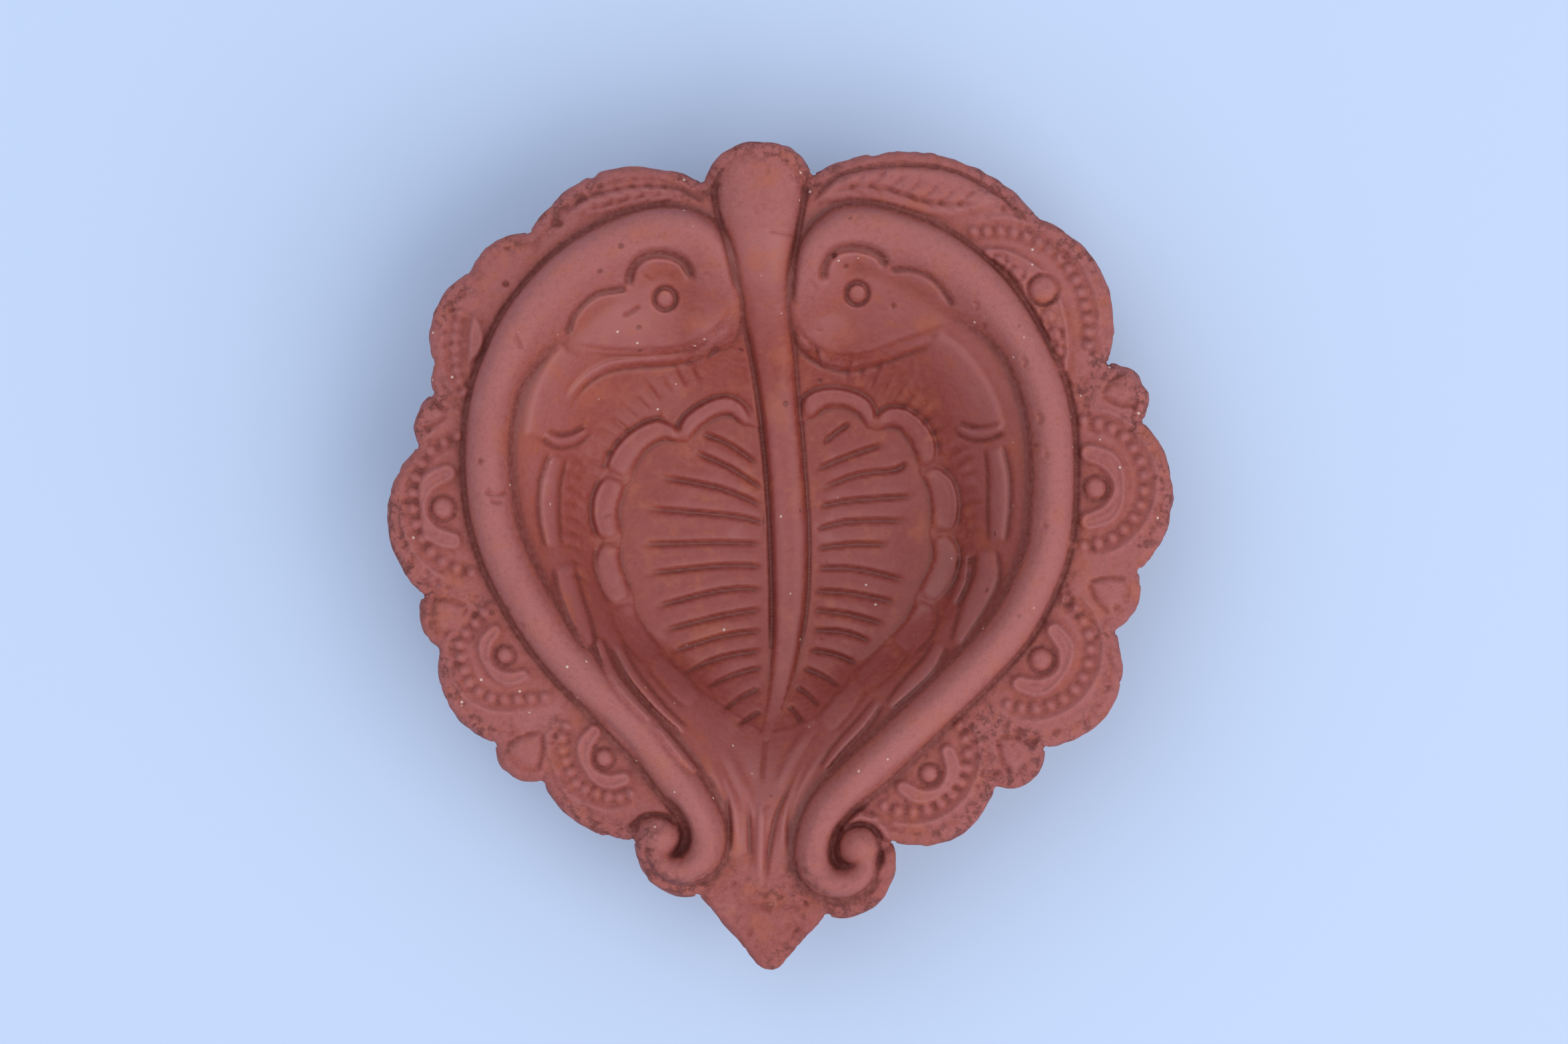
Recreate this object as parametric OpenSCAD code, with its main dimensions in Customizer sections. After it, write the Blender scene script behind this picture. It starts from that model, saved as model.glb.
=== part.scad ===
// Heart-shaped terracotta oil lamp (diya), pressed in an open mould. Two peacocks lie along the
// rim: their necks are thick ropes, their heads curl in beside the stem knob at the wide end,
// and the lower ends roll up into a scroll on each side of the wick spout.
// X runs across the lamp, +Y points from the spout tip to the knob, and +Z is up.
// The origin is the centre of the flat foot, on the surface that the lamp rests on.

/* [Heights] */
// Height of the upper face of the flat border
border_top = 19; // [17:0.5:21]
// Thickness of the border
border_t = 3.5; // [3:0.25:5]
// Height of the deepest point inside the bowl
floor_z = 5; // [4:0.25:7]
// How far the necks stand up above the border
neck_h = 3; // [2:0.25:4]

/* [Foot] */
// Diameter of the flat resting face
foot_d = 40; // [34:1:46]
// Height of the foot
foot_h = 2; // [1.5:0.25:3]

/* [Necks] */
// Width of the necks along the sides of the bowl
neck_w = 5.2; // [4.6:0.1:5.6]
// Radius of the ball at the heart of each scroll
scroll_r = 2.3; // [1.8:0.1:2.6]

/* [Ornament] */
// Height of the ornament on the border
relief_h = 0.7; // [0.5:0.1:1.2]
// Height of the ribs and feathers inside the bowl
rib_h = 0.7; // [0.4:0.1:1.2]
// Diameter of the beads in the medallions
bead_d = 1.3; // [0.9:0.1:1.5]
// Depth to which each added ornament is pressed into the body
seat = 0.3; // [0.1:0.1:0.5]

/* [Hidden] */
$fn = 64;

clay = [0.65, 0.37, 0.33];
clay_light = [0.69, 0.42, 0.38];
clay_deep = [0.58, 0.30, 0.24];

// Heights that follow from the driving dimensions
border_low = border_top - border_t;
spout_top = border_top - 1;

// Distance from the origin to the crest of the rim, every 15 degrees anticlockwise from +X
RIM_R = [31.2, 33.4, 36.2, 38.5, 40.2, 39.4, 37.5, 39.1, 40.6, 39.5, 36.8, 33.8,
         30.3, 27.6, 25.6, 24.5, 25.4, 29.4, 31.5, 28.5, 25.8, 25.3, 26.3, 28.8];
// Share of that distance at which the floor turns up into the wall, every 45 degrees
WALL_START = [0.68, 0.55, 0.45, 0.55, 0.68, 0.66, 0.40, 0.66];
// Half the width of the rim that the necks cover, inwards and outwards of the crest
rim_in = 1.6;
rim_out = 2.6;
// Share of the bowl's rise that the dished floor takes, before the wall starts
floor_share = 0.22;

// Outline of the border: [x, y, radius] of the disc that each lobe is part of
LOBES_RIGHT = [
    [15.0, 27.2, 19.8], [27.2, 27.2, 12.2], [39.1, 18.2, 4.2], [34.9, 7.5, 11.3],
    [37.3, -3.4, 5.2], [31.2, -12.3, 9.2], [27.2, -22.2, 4.1], [17.0, -23.9, 9.0],
    [8.2, -35.1, 6.0]
];
LOBES_LEFT = [
    [-15.2, 31.0, 14.15], [-28.4, 31.0, 6.5], [-30.6, 25.5, 8.6], [-36.9, 15.2, 4.2],
    [-32.8, 4.7, 11.3], [-36.3, -6.5, 4.2], [-28.8, -11.9, 9.6], [-27.5, -21.5, 4.1],
    [-16.2, -21.4, 10.8], [-9.8, -32.9, 5.8]
];
// Least width of the border, measured outwards from the necks
border_min = 3;
// Sides of the pointed spout tip, and the rounding of its point
SPOUT_RIGHT = [[7.4, -39.5], [6.2, -40.9]];
SPOUT_LEFT = [[-8.2, -38.7], [-9.2, -37.5]];
tip_r = 1.6;
tip_at = [-0.2, -45.7];
// Middle strip between the two scroll lobes
THROAT_FLOOR = [[2.6, -28], [2.8, -34], [4.6, -38], [6.0, -40.2], [-7.6, -38.4], [-6.0, -36],
                [-4.6, -32], [-5.2, -28]];

// Curves run through these points, from the head to the scroll
NECK_RIGHT = [
    [5.2, 25.6], [3.8, 28.0], [3.8, 32.0], [5.2, 35.8], [8.0, 37.9], [11.0, 38.1],
    [14.5, 37.4], [18.0, 36.0], [21.6, 33.7], [24.8, 30.6], [27.4, 27.0], [29.6, 23.0], [31.2, 19.0], [32.0, 15.0],
    [32.3, 10.5], [32.2, 6.0], [31.7, 1.5], [30.2, -2.7], [27.3, -8.0], [23.0, -12.8],
    [18.6, -17.1], [13.5, -21.6], [9.5, -25.3], [6.4, -28.4], [4.8, -31.5], [4.6, -34.5]
];
NECK_LEFT = [
    [-7.0, 25.4], [-5.4, 28.0], [-5.5, 32.0], [-6.9, 35.8], [-9.4, 37.6], [-13.0, 38.0],
    [-17.0, 36.9], [-21.0, 34.8], [-24.8, 31.7], [-28.2, 27.4], [-30.3, 23.3], [-31.8, 19.0], [-32.6, 15.0], [-32.7, 10.5],
    [-32.1, 5.0], [-30.6, 0.2], [-28.3, -4.5], [-25.4, -9.0], [-21.8, -13.2], [-17.6, -17.3],
    [-13.6, -21.3], [-10.8, -25.0], [-8.6, -28.2], [-7.2, -31.2]
];
HOOK_RIGHT = [[4.6, -34.5], [5.6, -36.8], [8.0, -37.6], [10.2, -36.6], [10.9, -34.8]];
HOOK_LEFT = [[-7.2, -31.2], [-7.5, -33.8], [-9.2, -35.7], [-11.5, -35.7], [-12.7, -34.0]];
BALL_RIGHT = [10.2, -33.5];
BALL_LEFT = [-12.2, -32.3];

// Rib that falls from the knob and over the floor: [x, y, half width]
MIDRIB = [
    [-1.3, 37.5, 3.9], [-1.0, 33.0, 3.3], [-0.4, 28.0, 2.8], [0.4, 22.0, 2.4],
    [1.3, 15.0, 2.1], [2.0, 8.0, 2.1], [2.3, 2.0, 2.1], [2.2, -5.0, 2.0],
    [1.8, -11.0, 1.5], [0.8, -16.0, 0.9], [-0.6, -19.5, 0.4]
];
KNOB = [
    [-1.4, 47.8, 2.4], [-1.4, 46.9, 3.9], [-1.4, 45.2, 5.0], [-1.4, 42.6, 5.3],
    [-1.3, 40.0, 4.7], [-1.3, 37.5, 4.1]
];

// Each head lies between an upper and a lower outline, both from the nape to the beak tip
CROWN_RIGHT = [[3.6, 29.8], [5.4, 33.0], [7.4, 35.0], [10.4, 35.4], [12.7, 34.2], [13.7, 33.0],
               [16.2, 32.9], [18.8, 31.6], [21.2, 29.0]];
JAW_RIGHT = [[3.6, 29.8], [4.0, 27.4], [5.7, 25.6], [8.2, 24.6], [11.0, 24.4], [14.0, 25.1],
             [16.8, 26.2], [19.4, 27.2], [21.2, 29.0]];
CROWN_LEFT = [[-5.4, 29.0], [-7.6, 32.8], [-9.8, 34.3], [-13.0, 34.6], [-15.8, 33.2], [-16.6, 31.2],
              [-19.4, 30.8], [-22.0, 29.2], [-23.8, 25.6]];
JAW_LEFT = [[-5.4, 29.0], [-5.8, 27.6], [-7.4, 26.0], [-9.8, 24.9], [-12.6, 24.4], [-15.8, 24.0],
            [-18.8, 24.0], [-21.6, 24.4], [-23.8, 25.6]];
EYE_RIGHT = [10.0, 30.7];
EYE_LEFT = [-12.3, 30.1];
eye_r = 1.2;

// Scallops of the band around the leaf, each a separate run of points
BAND_RIGHT = [
    [[3.5, 17.6], [6.0, 19.2], [9.5, 19.2], [12.0, 17.6], [12.0, 16.0]],
    [[12.0, 16.0], [14.4, 17.3], [17.0, 16.2], [18.8, 13.4], [18.6, 10.6]],
    [[18.6, 10.6], [20.6, 9.2], [21.6, 6.6], [21.2, 3.8], [19.4, 2.6]],
    [[19.4, 2.6], [21.2, 1.4], [20.8, -1.6], [19.0, -4.0], [17.0, -4.8]],
    [[17.0, -4.8], [17.2, -7.2], [15.0, -9.8], [11.6, -12.2], [7.2, -16.4]]
];
BAND_LEFT = [
    [[-3.2, 17.2], [-5.4, 18.2], [-8.4, 17.4], [-10.2, 16.0], [-10.8, 14.6]],
    [[-10.8, 14.6], [-13.2, 15.4], [-16.2, 14.6], [-18.2, 12.8], [-18.6, 11.0]],
    [[-18.6, 11.0], [-20.4, 9.0], [-20.8, 6.0], [-20.2, 3.2], [-18.6, 1.8]],
    [[-18.6, 1.8], [-19.8, 0.2], [-19.0, -2.6], [-17.6, -4.6], [-16.2, -5.6]],
    [[-16.2, -5.6], [-16.6, -7.6], [-14.4, -10.4], [-11.2, -13.0], [-8.2, -16.6]]
];

// Longer feathers outside the band
OUTER_RIGHT = [
    [[22.3, 15.6], [24.4, 14.1], [26.0, 14.8]],
    [[25.4, 12.8], [26.4, 9.0], [26.6, 5.4], [25.8, 2.2]],
    [[25.6, 0.6], [25.2, -3.2], [23.2, -7.2], [20.8, -10.2]],
    [[19.8, -10.2], [19.2, -12.6], [16.4, -15.4], [13.8, -17.6]]
];
OUTER_LEFT = [
    [[-25.8, 14.0], [-24.2, 13.4], [-22.2, 14.0]],
    [[-24.6, 12.4], [-26.2, 9.4], [-26.6, 5.6], [-25.4, 1.0]],
    [[-24.4, -0.2], [-23.6, -3.4], [-22.4, -6.6], [-20.6, -9.4]],
    [[-20.0, -9.6], [-18.8, -12.4], [-16.4, -14.8], [-14.0, -17.6]]
];

// Veins: where each starts at the midrib and ends at the band
VEINS_RIGHT = [
    [[5.7, 13.4], [8.9, 15.8]], [[5.8, 10.8], [13.5, 13.5]], [[5.1, 7.9], [15.5, 10.5]],
    [[5.8, 6.0], [17.4, 7.4]], [[5.1, 3.4], [16.4, 4.5]], [[5.4, 1.1], [13.8, 1.9]],
    [[5.1, -1.1], [16.1, -2.6]], [[5.1, -3.7], [15.1, -5.3]], [[4.8, -6.3], [13.6, -7.8]],
    [[4.8, -8.5], [11.6, -9.8]], [[4.5, -10.8], [9.6, -12.4]], [[4.2, -12.7], [7.7, -14.8]],
    [[3.2, -15.0], [5.4, -17.2]], [[2.1, -17.2], [3.5, -19.0]]
];
VEINS_LEFT = [
    [[-1.6, 11.0], [-8.0, 14.5]], [[-1.3, 7.2], [-9.8, 11.5]], [[-1.0, 5.1], [-14.0, 9.9]],
    [[-0.9, 3.3], [-15.8, 6.0]], [[-1.9, 1.6], [-15.8, 1.8]], [[-1.9, -1.0], [-15.5, -1.8]],
    [[-1.3, -3.1], [-14.3, -5.8]], [[-1.9, -5.8], [-13.1, -8.5]], [[-1.6, -8.5], [-11.9, -11.1]],
    [[-1.6, -10.8], [-10.3, -13.4]], [[-1.3, -12.8], [-7.7, -14.8]],
    [[-1.6, -15.3], [-5.8, -17.9]], [[-1.3, -17.9], [-4.0, -19.4]]
];

// Barbs of the wing: [first angle, last angle, count, inner share, outer share of the rim radius]
BARBS_RIGHT = [34, 68, 9, 0.60, 0.70];
BARBS_LEFT = [114, 146, 9, 0.60, 0.70];

THROAT = [[-1.2, -20.5], [-1.5, -27.0], [-1.4, -33.0], [-1.0, -38.0]];
THROAT_RIGHT = [
    [[2.6, -21.5], [0.6, -28.0], [0.2, -34.0]],
    [[7.6, -19.0], [4.0, -24.0], [2.2, -29.5], [1.7, -34.5]]
];
THROAT_LEFT = [
    [[-4.4, -21.0], [-3.2, -26.0], [-2.8, -31.0], [-3.0, -36.0]],
    [[-9.0, -19.5], [-6.2, -24.0], [-4.6, -28.0], [-4.3, -32.0]]
];

// Leaves beside the knob: upper edge and lower edge, from the root to the tip
LEAF_TOP_RIGHT = [[6.6, 40.9], [9.4, 43.9], [13.0, 45.0], [17.0, 45.1], [21.0, 44.4], [27.4, 41.2]];
LEAF_LOW_RIGHT = [[6.6, 40.9], [10.0, 42.1], [13.6, 41.6], [17.4, 40.0], [21.6, 39.4], [27.4, 41.2]];
LEAF_TOP_LEFT = [[-8.6, 40.2], [-10.8, 42.8], [-14.0, 43.7], [-17.4, 43.3], [-20.6, 42.2],
                 [-24.4, 39.6]];
LEAF_LOW_LEFT = [[-8.6, 40.2], [-11.4, 41.2], [-14.4, 41.0], [-17.6, 40.2], [-20.8, 39.5],
                 [-24.4, 39.6]];

// Medallions: [disc x, disc y, disc radius, direction that faces outwards, size]
MEDALLIONS_RIGHT = [
    [31.1, 30.8, 1.5, 42, 1.0], [37.4, 8.4, 1.5, 2, 1.0],
    [31.0, -11.4, 1.6, -36, 0.88], [18.0, -24.8, 1.0, -48, 0.82]
];
MEDALLIONS_LEFT = [
    [-35.6, 25.0, 0.9, 160, 0.50], [-37.5, 6.0, 1.5, 182, 0.78],
    [-30.4, -11.1, 1.2, 214, 0.82], [-19.3, -22.4, 1.0, 232, 0.80]
];
// Tongues between the medallions: [tip x, tip y, direction that faces outwards]
MOTIFS_RIGHT = [[40.2, 18.2, 14], [38.9, -3.6, -12], [28.0, -22.2, -40]];
MOTIFS_LEFT = [[-38.3, 15.4, 172], [-37.6, -6.8, 196], [-28.4, -21.8, 222]];

// Smooth curve through points, with the tangents set by the neighbours of each point
function catmull(a, b, c, d, t) =
    0.5 * (2 * b + (c - a) * t + (2 * a - 5 * b + 4 * c - d) * t ^ 2
           + (3 * b - a - 3 * c + d) * t ^ 3);
function curve(points, steps = 4) = let (last = len(points) - 1) [
    for (i = [0:last - 1], k = [0:steps - 1])
        catmull(points[max(i - 1, 0)], points[i], points[i + 1], points[min(i + 2, last)], k / steps),
    points[last]
];
// The same for values that repeat around a full turn
function around(values, angle) =
    let (n = len(values), s = (angle + 720) / 360 * n, i = floor(s))
    catmull(values[(i - 1) % n], values[i % n], values[(i + 1) % n], values[(i + 2) % n], s - i);

function smooth(t) = let (u = min(max(t, 0), 1)) u * u * (3 - 2 * u);
function rim_r(angle) = around(RIM_R, angle);
function wall_start(angle) = around(WALL_START, angle);
// Height of the rim: it dips at the spout, so that the wick can lie in the channel
function rim_z(angle) =
    let (off = abs(((angle + 450) % 360 + 360) % 360 - 180))
    border_top - (border_top - spout_top) * smooth((off - 160) / 14);
// Share of the rim's height at share t of the way out from the origin
function rise(t, start) = floor_share * t * t + (1 - floor_share) * smooth((t - start) / (1 - start));
function bowl_z_polar(r, angle) =
    let (t = r / (rim_r(angle) - rim_in))
    t >= 1 ? rim_z(angle) : floor_z + (rim_z(angle) - floor_z) * rise(t, wall_start(angle));
// Height of the upper clay surface at any point of the plan
function surface_z(p) = bowl_z_polar(norm([p.x, p.y]), atan2(p.y, p.x));

function left_of(path, i) =
    let (d = path[min(i + 1, len(path) - 1)] - path[max(i - 1, 0)])
    [-d.y, d.x] / norm([d.x, d.y]);

// Closed solid between two grids of points that have the same shape
module slab(top, bottom) {
    n = len(top);
    m = len(top[0]);
    off = n * m;
    function at(i, j) = i * m + j;
    shells = [for (i = [0:n - 2], j = [0:m - 2])
        let (a = at(i, j), b = at(i, j + 1), c = at(i + 1, j + 1), d = at(i + 1, j))
        each [[a, b, c], [a, c, d], [a + off, c + off, b + off], [a + off, d + off, c + off]]];
    sides = [for (i = [0:n - 2])
        let (a = at(i, 0), d = at(i + 1, 0), b = at(i, m - 1), c = at(i + 1, m - 1))
        each [[a, d, d + off], [a, d + off, a + off], [c, b, b + off], [c, b + off, c + off]]];
    ends = [for (j = [0:m - 2])
        let (a = at(0, j), b = at(0, j + 1), d = at(n - 1, j), c = at(n - 1, j + 1))
        each [[b, a, a + off], [b, a + off, b + off], [d, c, c + off], [d, c + off, d + off]]];
    polyhedron([for (row = top) each row, for (row = bottom) each row],
               concat(shells, sides, ends), convexity = 8);
}

// Rounded rib laid on the clay along a path, with a half width and a height at each point
module rib(path, half_w, high, across = 4) {
    rows = [for (i = [0:len(path) - 1]) [for (j = [0:across])
        let (u = 2 * j / across - 1, q = path[i] + left_of(path, i) * half_w[i] * u)
        [q.x, q.y, surface_z(q), u, high[i]]]];
    slab([for (row = rows) [for (q = row) [q[0], q[1], q[2] + q[4] * (1 - q[3] ^ 2)]]],
         [for (row = rows) [for (q = row) [q[0], q[1], q[2] - seat]]]);
}

// Rib of constant height whose width swells from the ends to the middle
module feather(points, width, high, steps = 4) {
    path = curve(points, steps);
    last = len(path) - 1;
    rib(path, [for (i = [0:last]) width / 2 * (0.35 + 0.65 * sin(180 * i / last))],
        [for (i = [0:last]) high]);
}

// Solid between two outlines that share both ends, domed between them
module pad(edge_a, edge_b, high, across = 6) {
    a = curve(edge_a, 3);
    b = curve(edge_b, 3);
    last = len(a) - 1;
    // The outlines are closed up to a short edge at each end, so that no face is degenerate
    gap = 0.12;
    rows = [for (i = [0:last]) [for (j = [0:across])
        let (v = j / across, q = a[i] * (1 - v) + b[i] * v + [0, gap * (0.5 - v)])
        [q.x, q.y, surface_z(q), high * (4 * v * (1 - v)) ^ 0.5 * (sin(180 * i / last) + 0.05) ^ 0.3]]];
    slab([for (row = rows) [for (q = row) [q[0], q[1], q[2] + 0.05 + q[3]]]],
         [for (row = rows) [for (q = row) [q[0], q[1], q[2] - seat]]]);
}

module foot() {
    color(clay_deep)
        cylinder(h = foot_h, d = foot_d, $fn = 96);
}

// Rings of the bowl, from the foot up the outside, over the rim and down the inside
bowl_sides = 72;
OUTSIDE = [[0, 0], [0.18, 0.06], [0.42, 0.22], [0.66, 0.45], [0.85, 0.70], [0.96, 0.88], [1, 1]];
INSIDE = [1, 0.94, 0.88, 0.82, 0.75, 0.68, 0.60, 0.50, 0.40, 0.28, 0.14];

module bowl() {
    angles = [for (j = [0:bowl_sides - 1]) 360 * j / bowl_sides];
    foot_r = foot_d / 2 - 0.5;
    outer = [for (s = OUTSIDE) [for (a = angles)
        let (r = foot_r + (rim_r(a) + rim_out - foot_r) * s[0])
        [r * cos(a), r * sin(a), foot_h + (border_low - foot_h) * s[1]]]];
    lip = [for (a = angles) let (r = rim_r(a) + rim_out) [r * cos(a), r * sin(a), rim_z(a)]];
    inner = [for (t = INSIDE) [for (a = angles)
        let (r = (rim_r(a) - rim_in) * t) [r * cos(a), r * sin(a), bowl_z_polar(r, a)]]];
    rings = concat(outer, [lip], inner);
    n = bowl_sides;
    last = len(rings) - 1;
    walls = [for (k = [0:last - 1], j = [0:n - 1])
        let (a = k * n + j, b = a + n, d = k * n + (j + 1) % n, c = d + n)
        each [[a, b, c], [a, c, d]]];
    under = (last + 1) * n;
    caps = [for (j = [0:n - 1]) let (k = (j + 1) % n)
        each [[under, j, k], [under + 1, last * n + k, last * n + j]]];
    color(clay_deep)
        polyhedron([for (ring = rings) each ring, [0, 0, foot_h], [0, 0, floor_z]],
                   concat(walls, caps), convexity = 8);
}

// Plan of the rim, with its outer edge moved outwards
module rim_outline(out = 0) {
    polygon([for (j = [0:bowl_sides - 1])
        let (a = 360 * j / bowl_sides, r = rim_r(a) + rim_out + out) [r * cos(a), r * sin(a)]]);
}

module spout_outline() {
    tip = [for (a = [-30:-20:-150]) tip_at + tip_r * [cos(a), sin(a)]];
    polygon(concat(SPOUT_RIGHT, tip, SPOUT_LEFT));
    polygon(THROAT_FLOOR);
}

// One half of the border; side is 1 on the right and -1 on the left
module border(lobes, side) {
    color(clay)
        translate([0, 0, border_low])
            linear_extrude(border_t)
                difference() {
                    union() {
                        for (lobe = lobes)
                            translate([lobe.x, lobe.y])
                                circle(r = lobe[2]);
                        rim_outline(border_min);
                    }
                    rim_outline();
                    spout_outline();
                    // The knob and the other half take the rest
                    translate([-6.4, 36])
                        square([10, 14]);
                    translate([side > 0 ? -61 : -1, -60])
                        square([60, 120]);
                }
}

module spout_lip() {
    color(clay)
        translate([0, 0, border_low])
            linear_extrude(spout_top - border_low)
                difference() {
                    spout_outline();
                    rim_outline();
                }
}

module stem_knob() {
    path = curve(KNOB, 3);
    across = 8;
    top = [for (i = [0:len(path) - 1]) [for (j = [0:across])
        let (u = 2 * j / across - 1)
        [path[i].x + path[i].z * u, path[i].y,
         border_top - 1 + (neck_h + 0.6) * (1 - u ^ 2) ^ 0.5 * smooth(0.55 + i / 6)]]];
    color(clay_light)
        slab(top, [for (row = top) [for (q = row) [q.x, q.y, border_low]]]);
}

module midrib() {
    path = curve(MIDRIB, 4);
    color(clay)
        rib([for (p = path) [p.x, p.y]], [for (p = path) p.z],
            [for (p = path) 0.5 + 0.55 * p.z], across = 6);
}

module neck(points, head_end) {
    path = curve(points, 3);
    last = len(path) - 1;
    rib(path, [for (i = [0:last]) neck_w / 2 * (0.5 + 0.5 * smooth(i / 14))],
        [for (i = [0:last]) neck_h * (head_end + (1 - head_end) * smooth(i / 12))], across = 6);
}

module scroll(hook, ball) {
    path = curve(hook, 4);
    last = len(path) - 1;
    rib(path, [for (i = [0:last]) neck_w / 2 * (1 - 0.55 * i / last)],
        [for (i = [0:last]) neck_h * (1 - 0.5 * i / last)], across = 6);
    translate([ball.x, ball.y, border_top - seat])
        intersection() {
            sphere(r = scroll_r);
            cylinder(h = scroll_r + 1, r = scroll_r + 1);
        }
}

module eye(at) {
    translate([at.x, at.y, surface_z(at) + 0.9])
        sphere(r = eye_r, $fn = 32);
}

module veins(list) {
    for (v = list)
        feather([v[0], (v[0] + v[1]) / 2, v[1]], 1.1, rib_h, steps = 2);
}

module feather_band(list) {
    for (run = list)
        feather(run, 2.2, rib_h * 1.3, steps = 3);
}

module outer_feathers(list) {
    for (run = list)
        feather(run, 2.0, rib_h * 1.2, steps = 3);
}

module wing_barbs(spec) {
    for (k = [0:spec[2] - 1]) {
        a = spec[0] + (spec[1] - spec[0]) * k / (spec[2] - 1);
        from = rim_r(a) * spec[3] * [cos(a), sin(a)];
        to = rim_r(a) * spec[4] * [cos(a), sin(a)];
        feather([from, (from + to) / 2, to], 0.9, rib_h * 0.8, steps = 2);
    }
}

module throat_lines(list) {
    for (run = list)
        feather(run, 1.0, rib_h, steps = 3);
}

module crown_leaf(edge_a, edge_b) {
    a = curve(edge_a, 4);
    b = curve(edge_b, 4);
    color(clay_light)
        translate([0, 0, border_top - seat])
            linear_extrude(relief_h + seat)
                polygon([each a, for (i = [len(b) - 2:-1:1]) b[i]]);
}

// Paisley bean around a disc, with a row of beads outside it
module medallion(spec) {
    s = spec[4];
    bean_in = spec[2] + 0.5;
    bean_out = bean_in + 2.3 * s;
    bead_r = bean_out + 1.3 * s;
    sweep = 78;
    beads = floor(2 * sweep * PI / 180 * bead_r / (bead_d + 0.45));
    color(clay_light)
        translate([spec.x, spec.y, border_top - seat])
            rotate(spec[3]) {
                cylinder(h = relief_h + seat, r = spec[2], $fn = 32);
                linear_extrude(relief_h + seat) {
                    difference() {
                        circle(r = bean_out);
                        circle(r = bean_in);
                        rotate(sweep)
                            translate([-50, 0])
                                square([100, 100]);
                        rotate(-sweep)
                            translate([-50, -100])
                                square([100, 100]);
                    }
                }
                for (k = [0:beads - 1])
                    rotate(-sweep + 2 * sweep * k / (beads - 1))
                        translate([bead_r, 0, 0])
                            cylinder(h = relief_h + seat, d = bead_d, $fn = 24);
            }
}

// Tongue with its point towards the bowl
module lobe_motif(spec) {
    color(clay_light)
        translate([spec.x, spec.y, border_top - seat])
            rotate(spec[2])
                linear_extrude(relief_h + seat)
                    intersection() {
                        translate([0.4, -1.9])
                            circle(r = 3.1);
                        translate([0.4, 1.9])
                            circle(r = 3.1);
                    }
}

foot();
bowl();
border(LOBES_LEFT, -1);  // border_left
border(LOBES_RIGHT, 1);  // border_right
spout_lip();
stem_knob();
midrib();
color(clay) neck(NECK_LEFT, 0.3);  // neck_left
color(clay) neck(NECK_RIGHT, 0.3);  // neck_right
color(clay) pad(JAW_LEFT, CROWN_LEFT, 1.3);  // head_left
color(clay) pad(CROWN_RIGHT, JAW_RIGHT, 1.3);  // head_right
color(clay_light) eye(EYE_LEFT);  // eye_left
color(clay_light) eye(EYE_RIGHT);  // eye_right
color(clay) scroll(HOOK_LEFT, BALL_LEFT);  // scroll_left
color(clay) scroll(HOOK_RIGHT, BALL_RIGHT);  // scroll_right
color(clay) veins(VEINS_LEFT);  // veins_left
color(clay) veins(VEINS_RIGHT);  // veins_right
color(clay) feather_band(BAND_LEFT);  // feather_band_left
color(clay) feather_band(BAND_RIGHT);  // feather_band_right
color(clay) outer_feathers(OUTER_LEFT);  // outer_feathers_left
color(clay) outer_feathers(OUTER_RIGHT);  // outer_feathers_right
color(clay) wing_barbs(BARBS_LEFT);  // wing_barbs_left
color(clay) wing_barbs(BARBS_RIGHT);  // wing_barbs_right
color(clay) feather(THROAT, 1.4, rib_h, 4);  // throat_ridge
color(clay) throat_lines(THROAT_LEFT);  // throat_lines_left
color(clay) throat_lines(THROAT_RIGHT);  // throat_lines_right
crown_leaf(LEAF_TOP_LEFT, LEAF_LOW_LEFT);  // crown_leaf_left
crown_leaf(LEAF_TOP_RIGHT, LEAF_LOW_RIGHT);  // crown_leaf_right
medallion(MEDALLIONS_LEFT[0]);  // medallion_1_left
medallion(MEDALLIONS_LEFT[1]);  // medallion_2_left
medallion(MEDALLIONS_LEFT[2]);  // medallion_3_left
medallion(MEDALLIONS_LEFT[3]);  // medallion_4_left
medallion(MEDALLIONS_RIGHT[0]);  // medallion_1_right
medallion(MEDALLIONS_RIGHT[1]);  // medallion_2_right
medallion(MEDALLIONS_RIGHT[2]);  // medallion_3_right
medallion(MEDALLIONS_RIGHT[3]);  // medallion_4_right
lobe_motif(MOTIFS_LEFT[0]);  // lobe_motif_1_left
lobe_motif(MOTIFS_LEFT[1]);  // lobe_motif_2_left
lobe_motif(MOTIFS_LEFT[2]);  // lobe_motif_3_left
lobe_motif(MOTIFS_RIGHT[0]);  // lobe_motif_1_right
lobe_motif(MOTIFS_RIGHT[1]);  // lobe_motif_2_right
lobe_motif(MOTIFS_RIGHT[2]);  // lobe_motif_3_right
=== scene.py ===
"""Looks of the terracotta peacock lamp.

The upper clay surface is one height field, drawn in millimetres and tied to the CAD frame: a dished
bowl, a flat scalloped border and the relief that the mould pressed into them. Each modelled element
owns a patch of that surface and is closed below into a solid of its own, so elements meet unseen.
"""

import math

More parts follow.
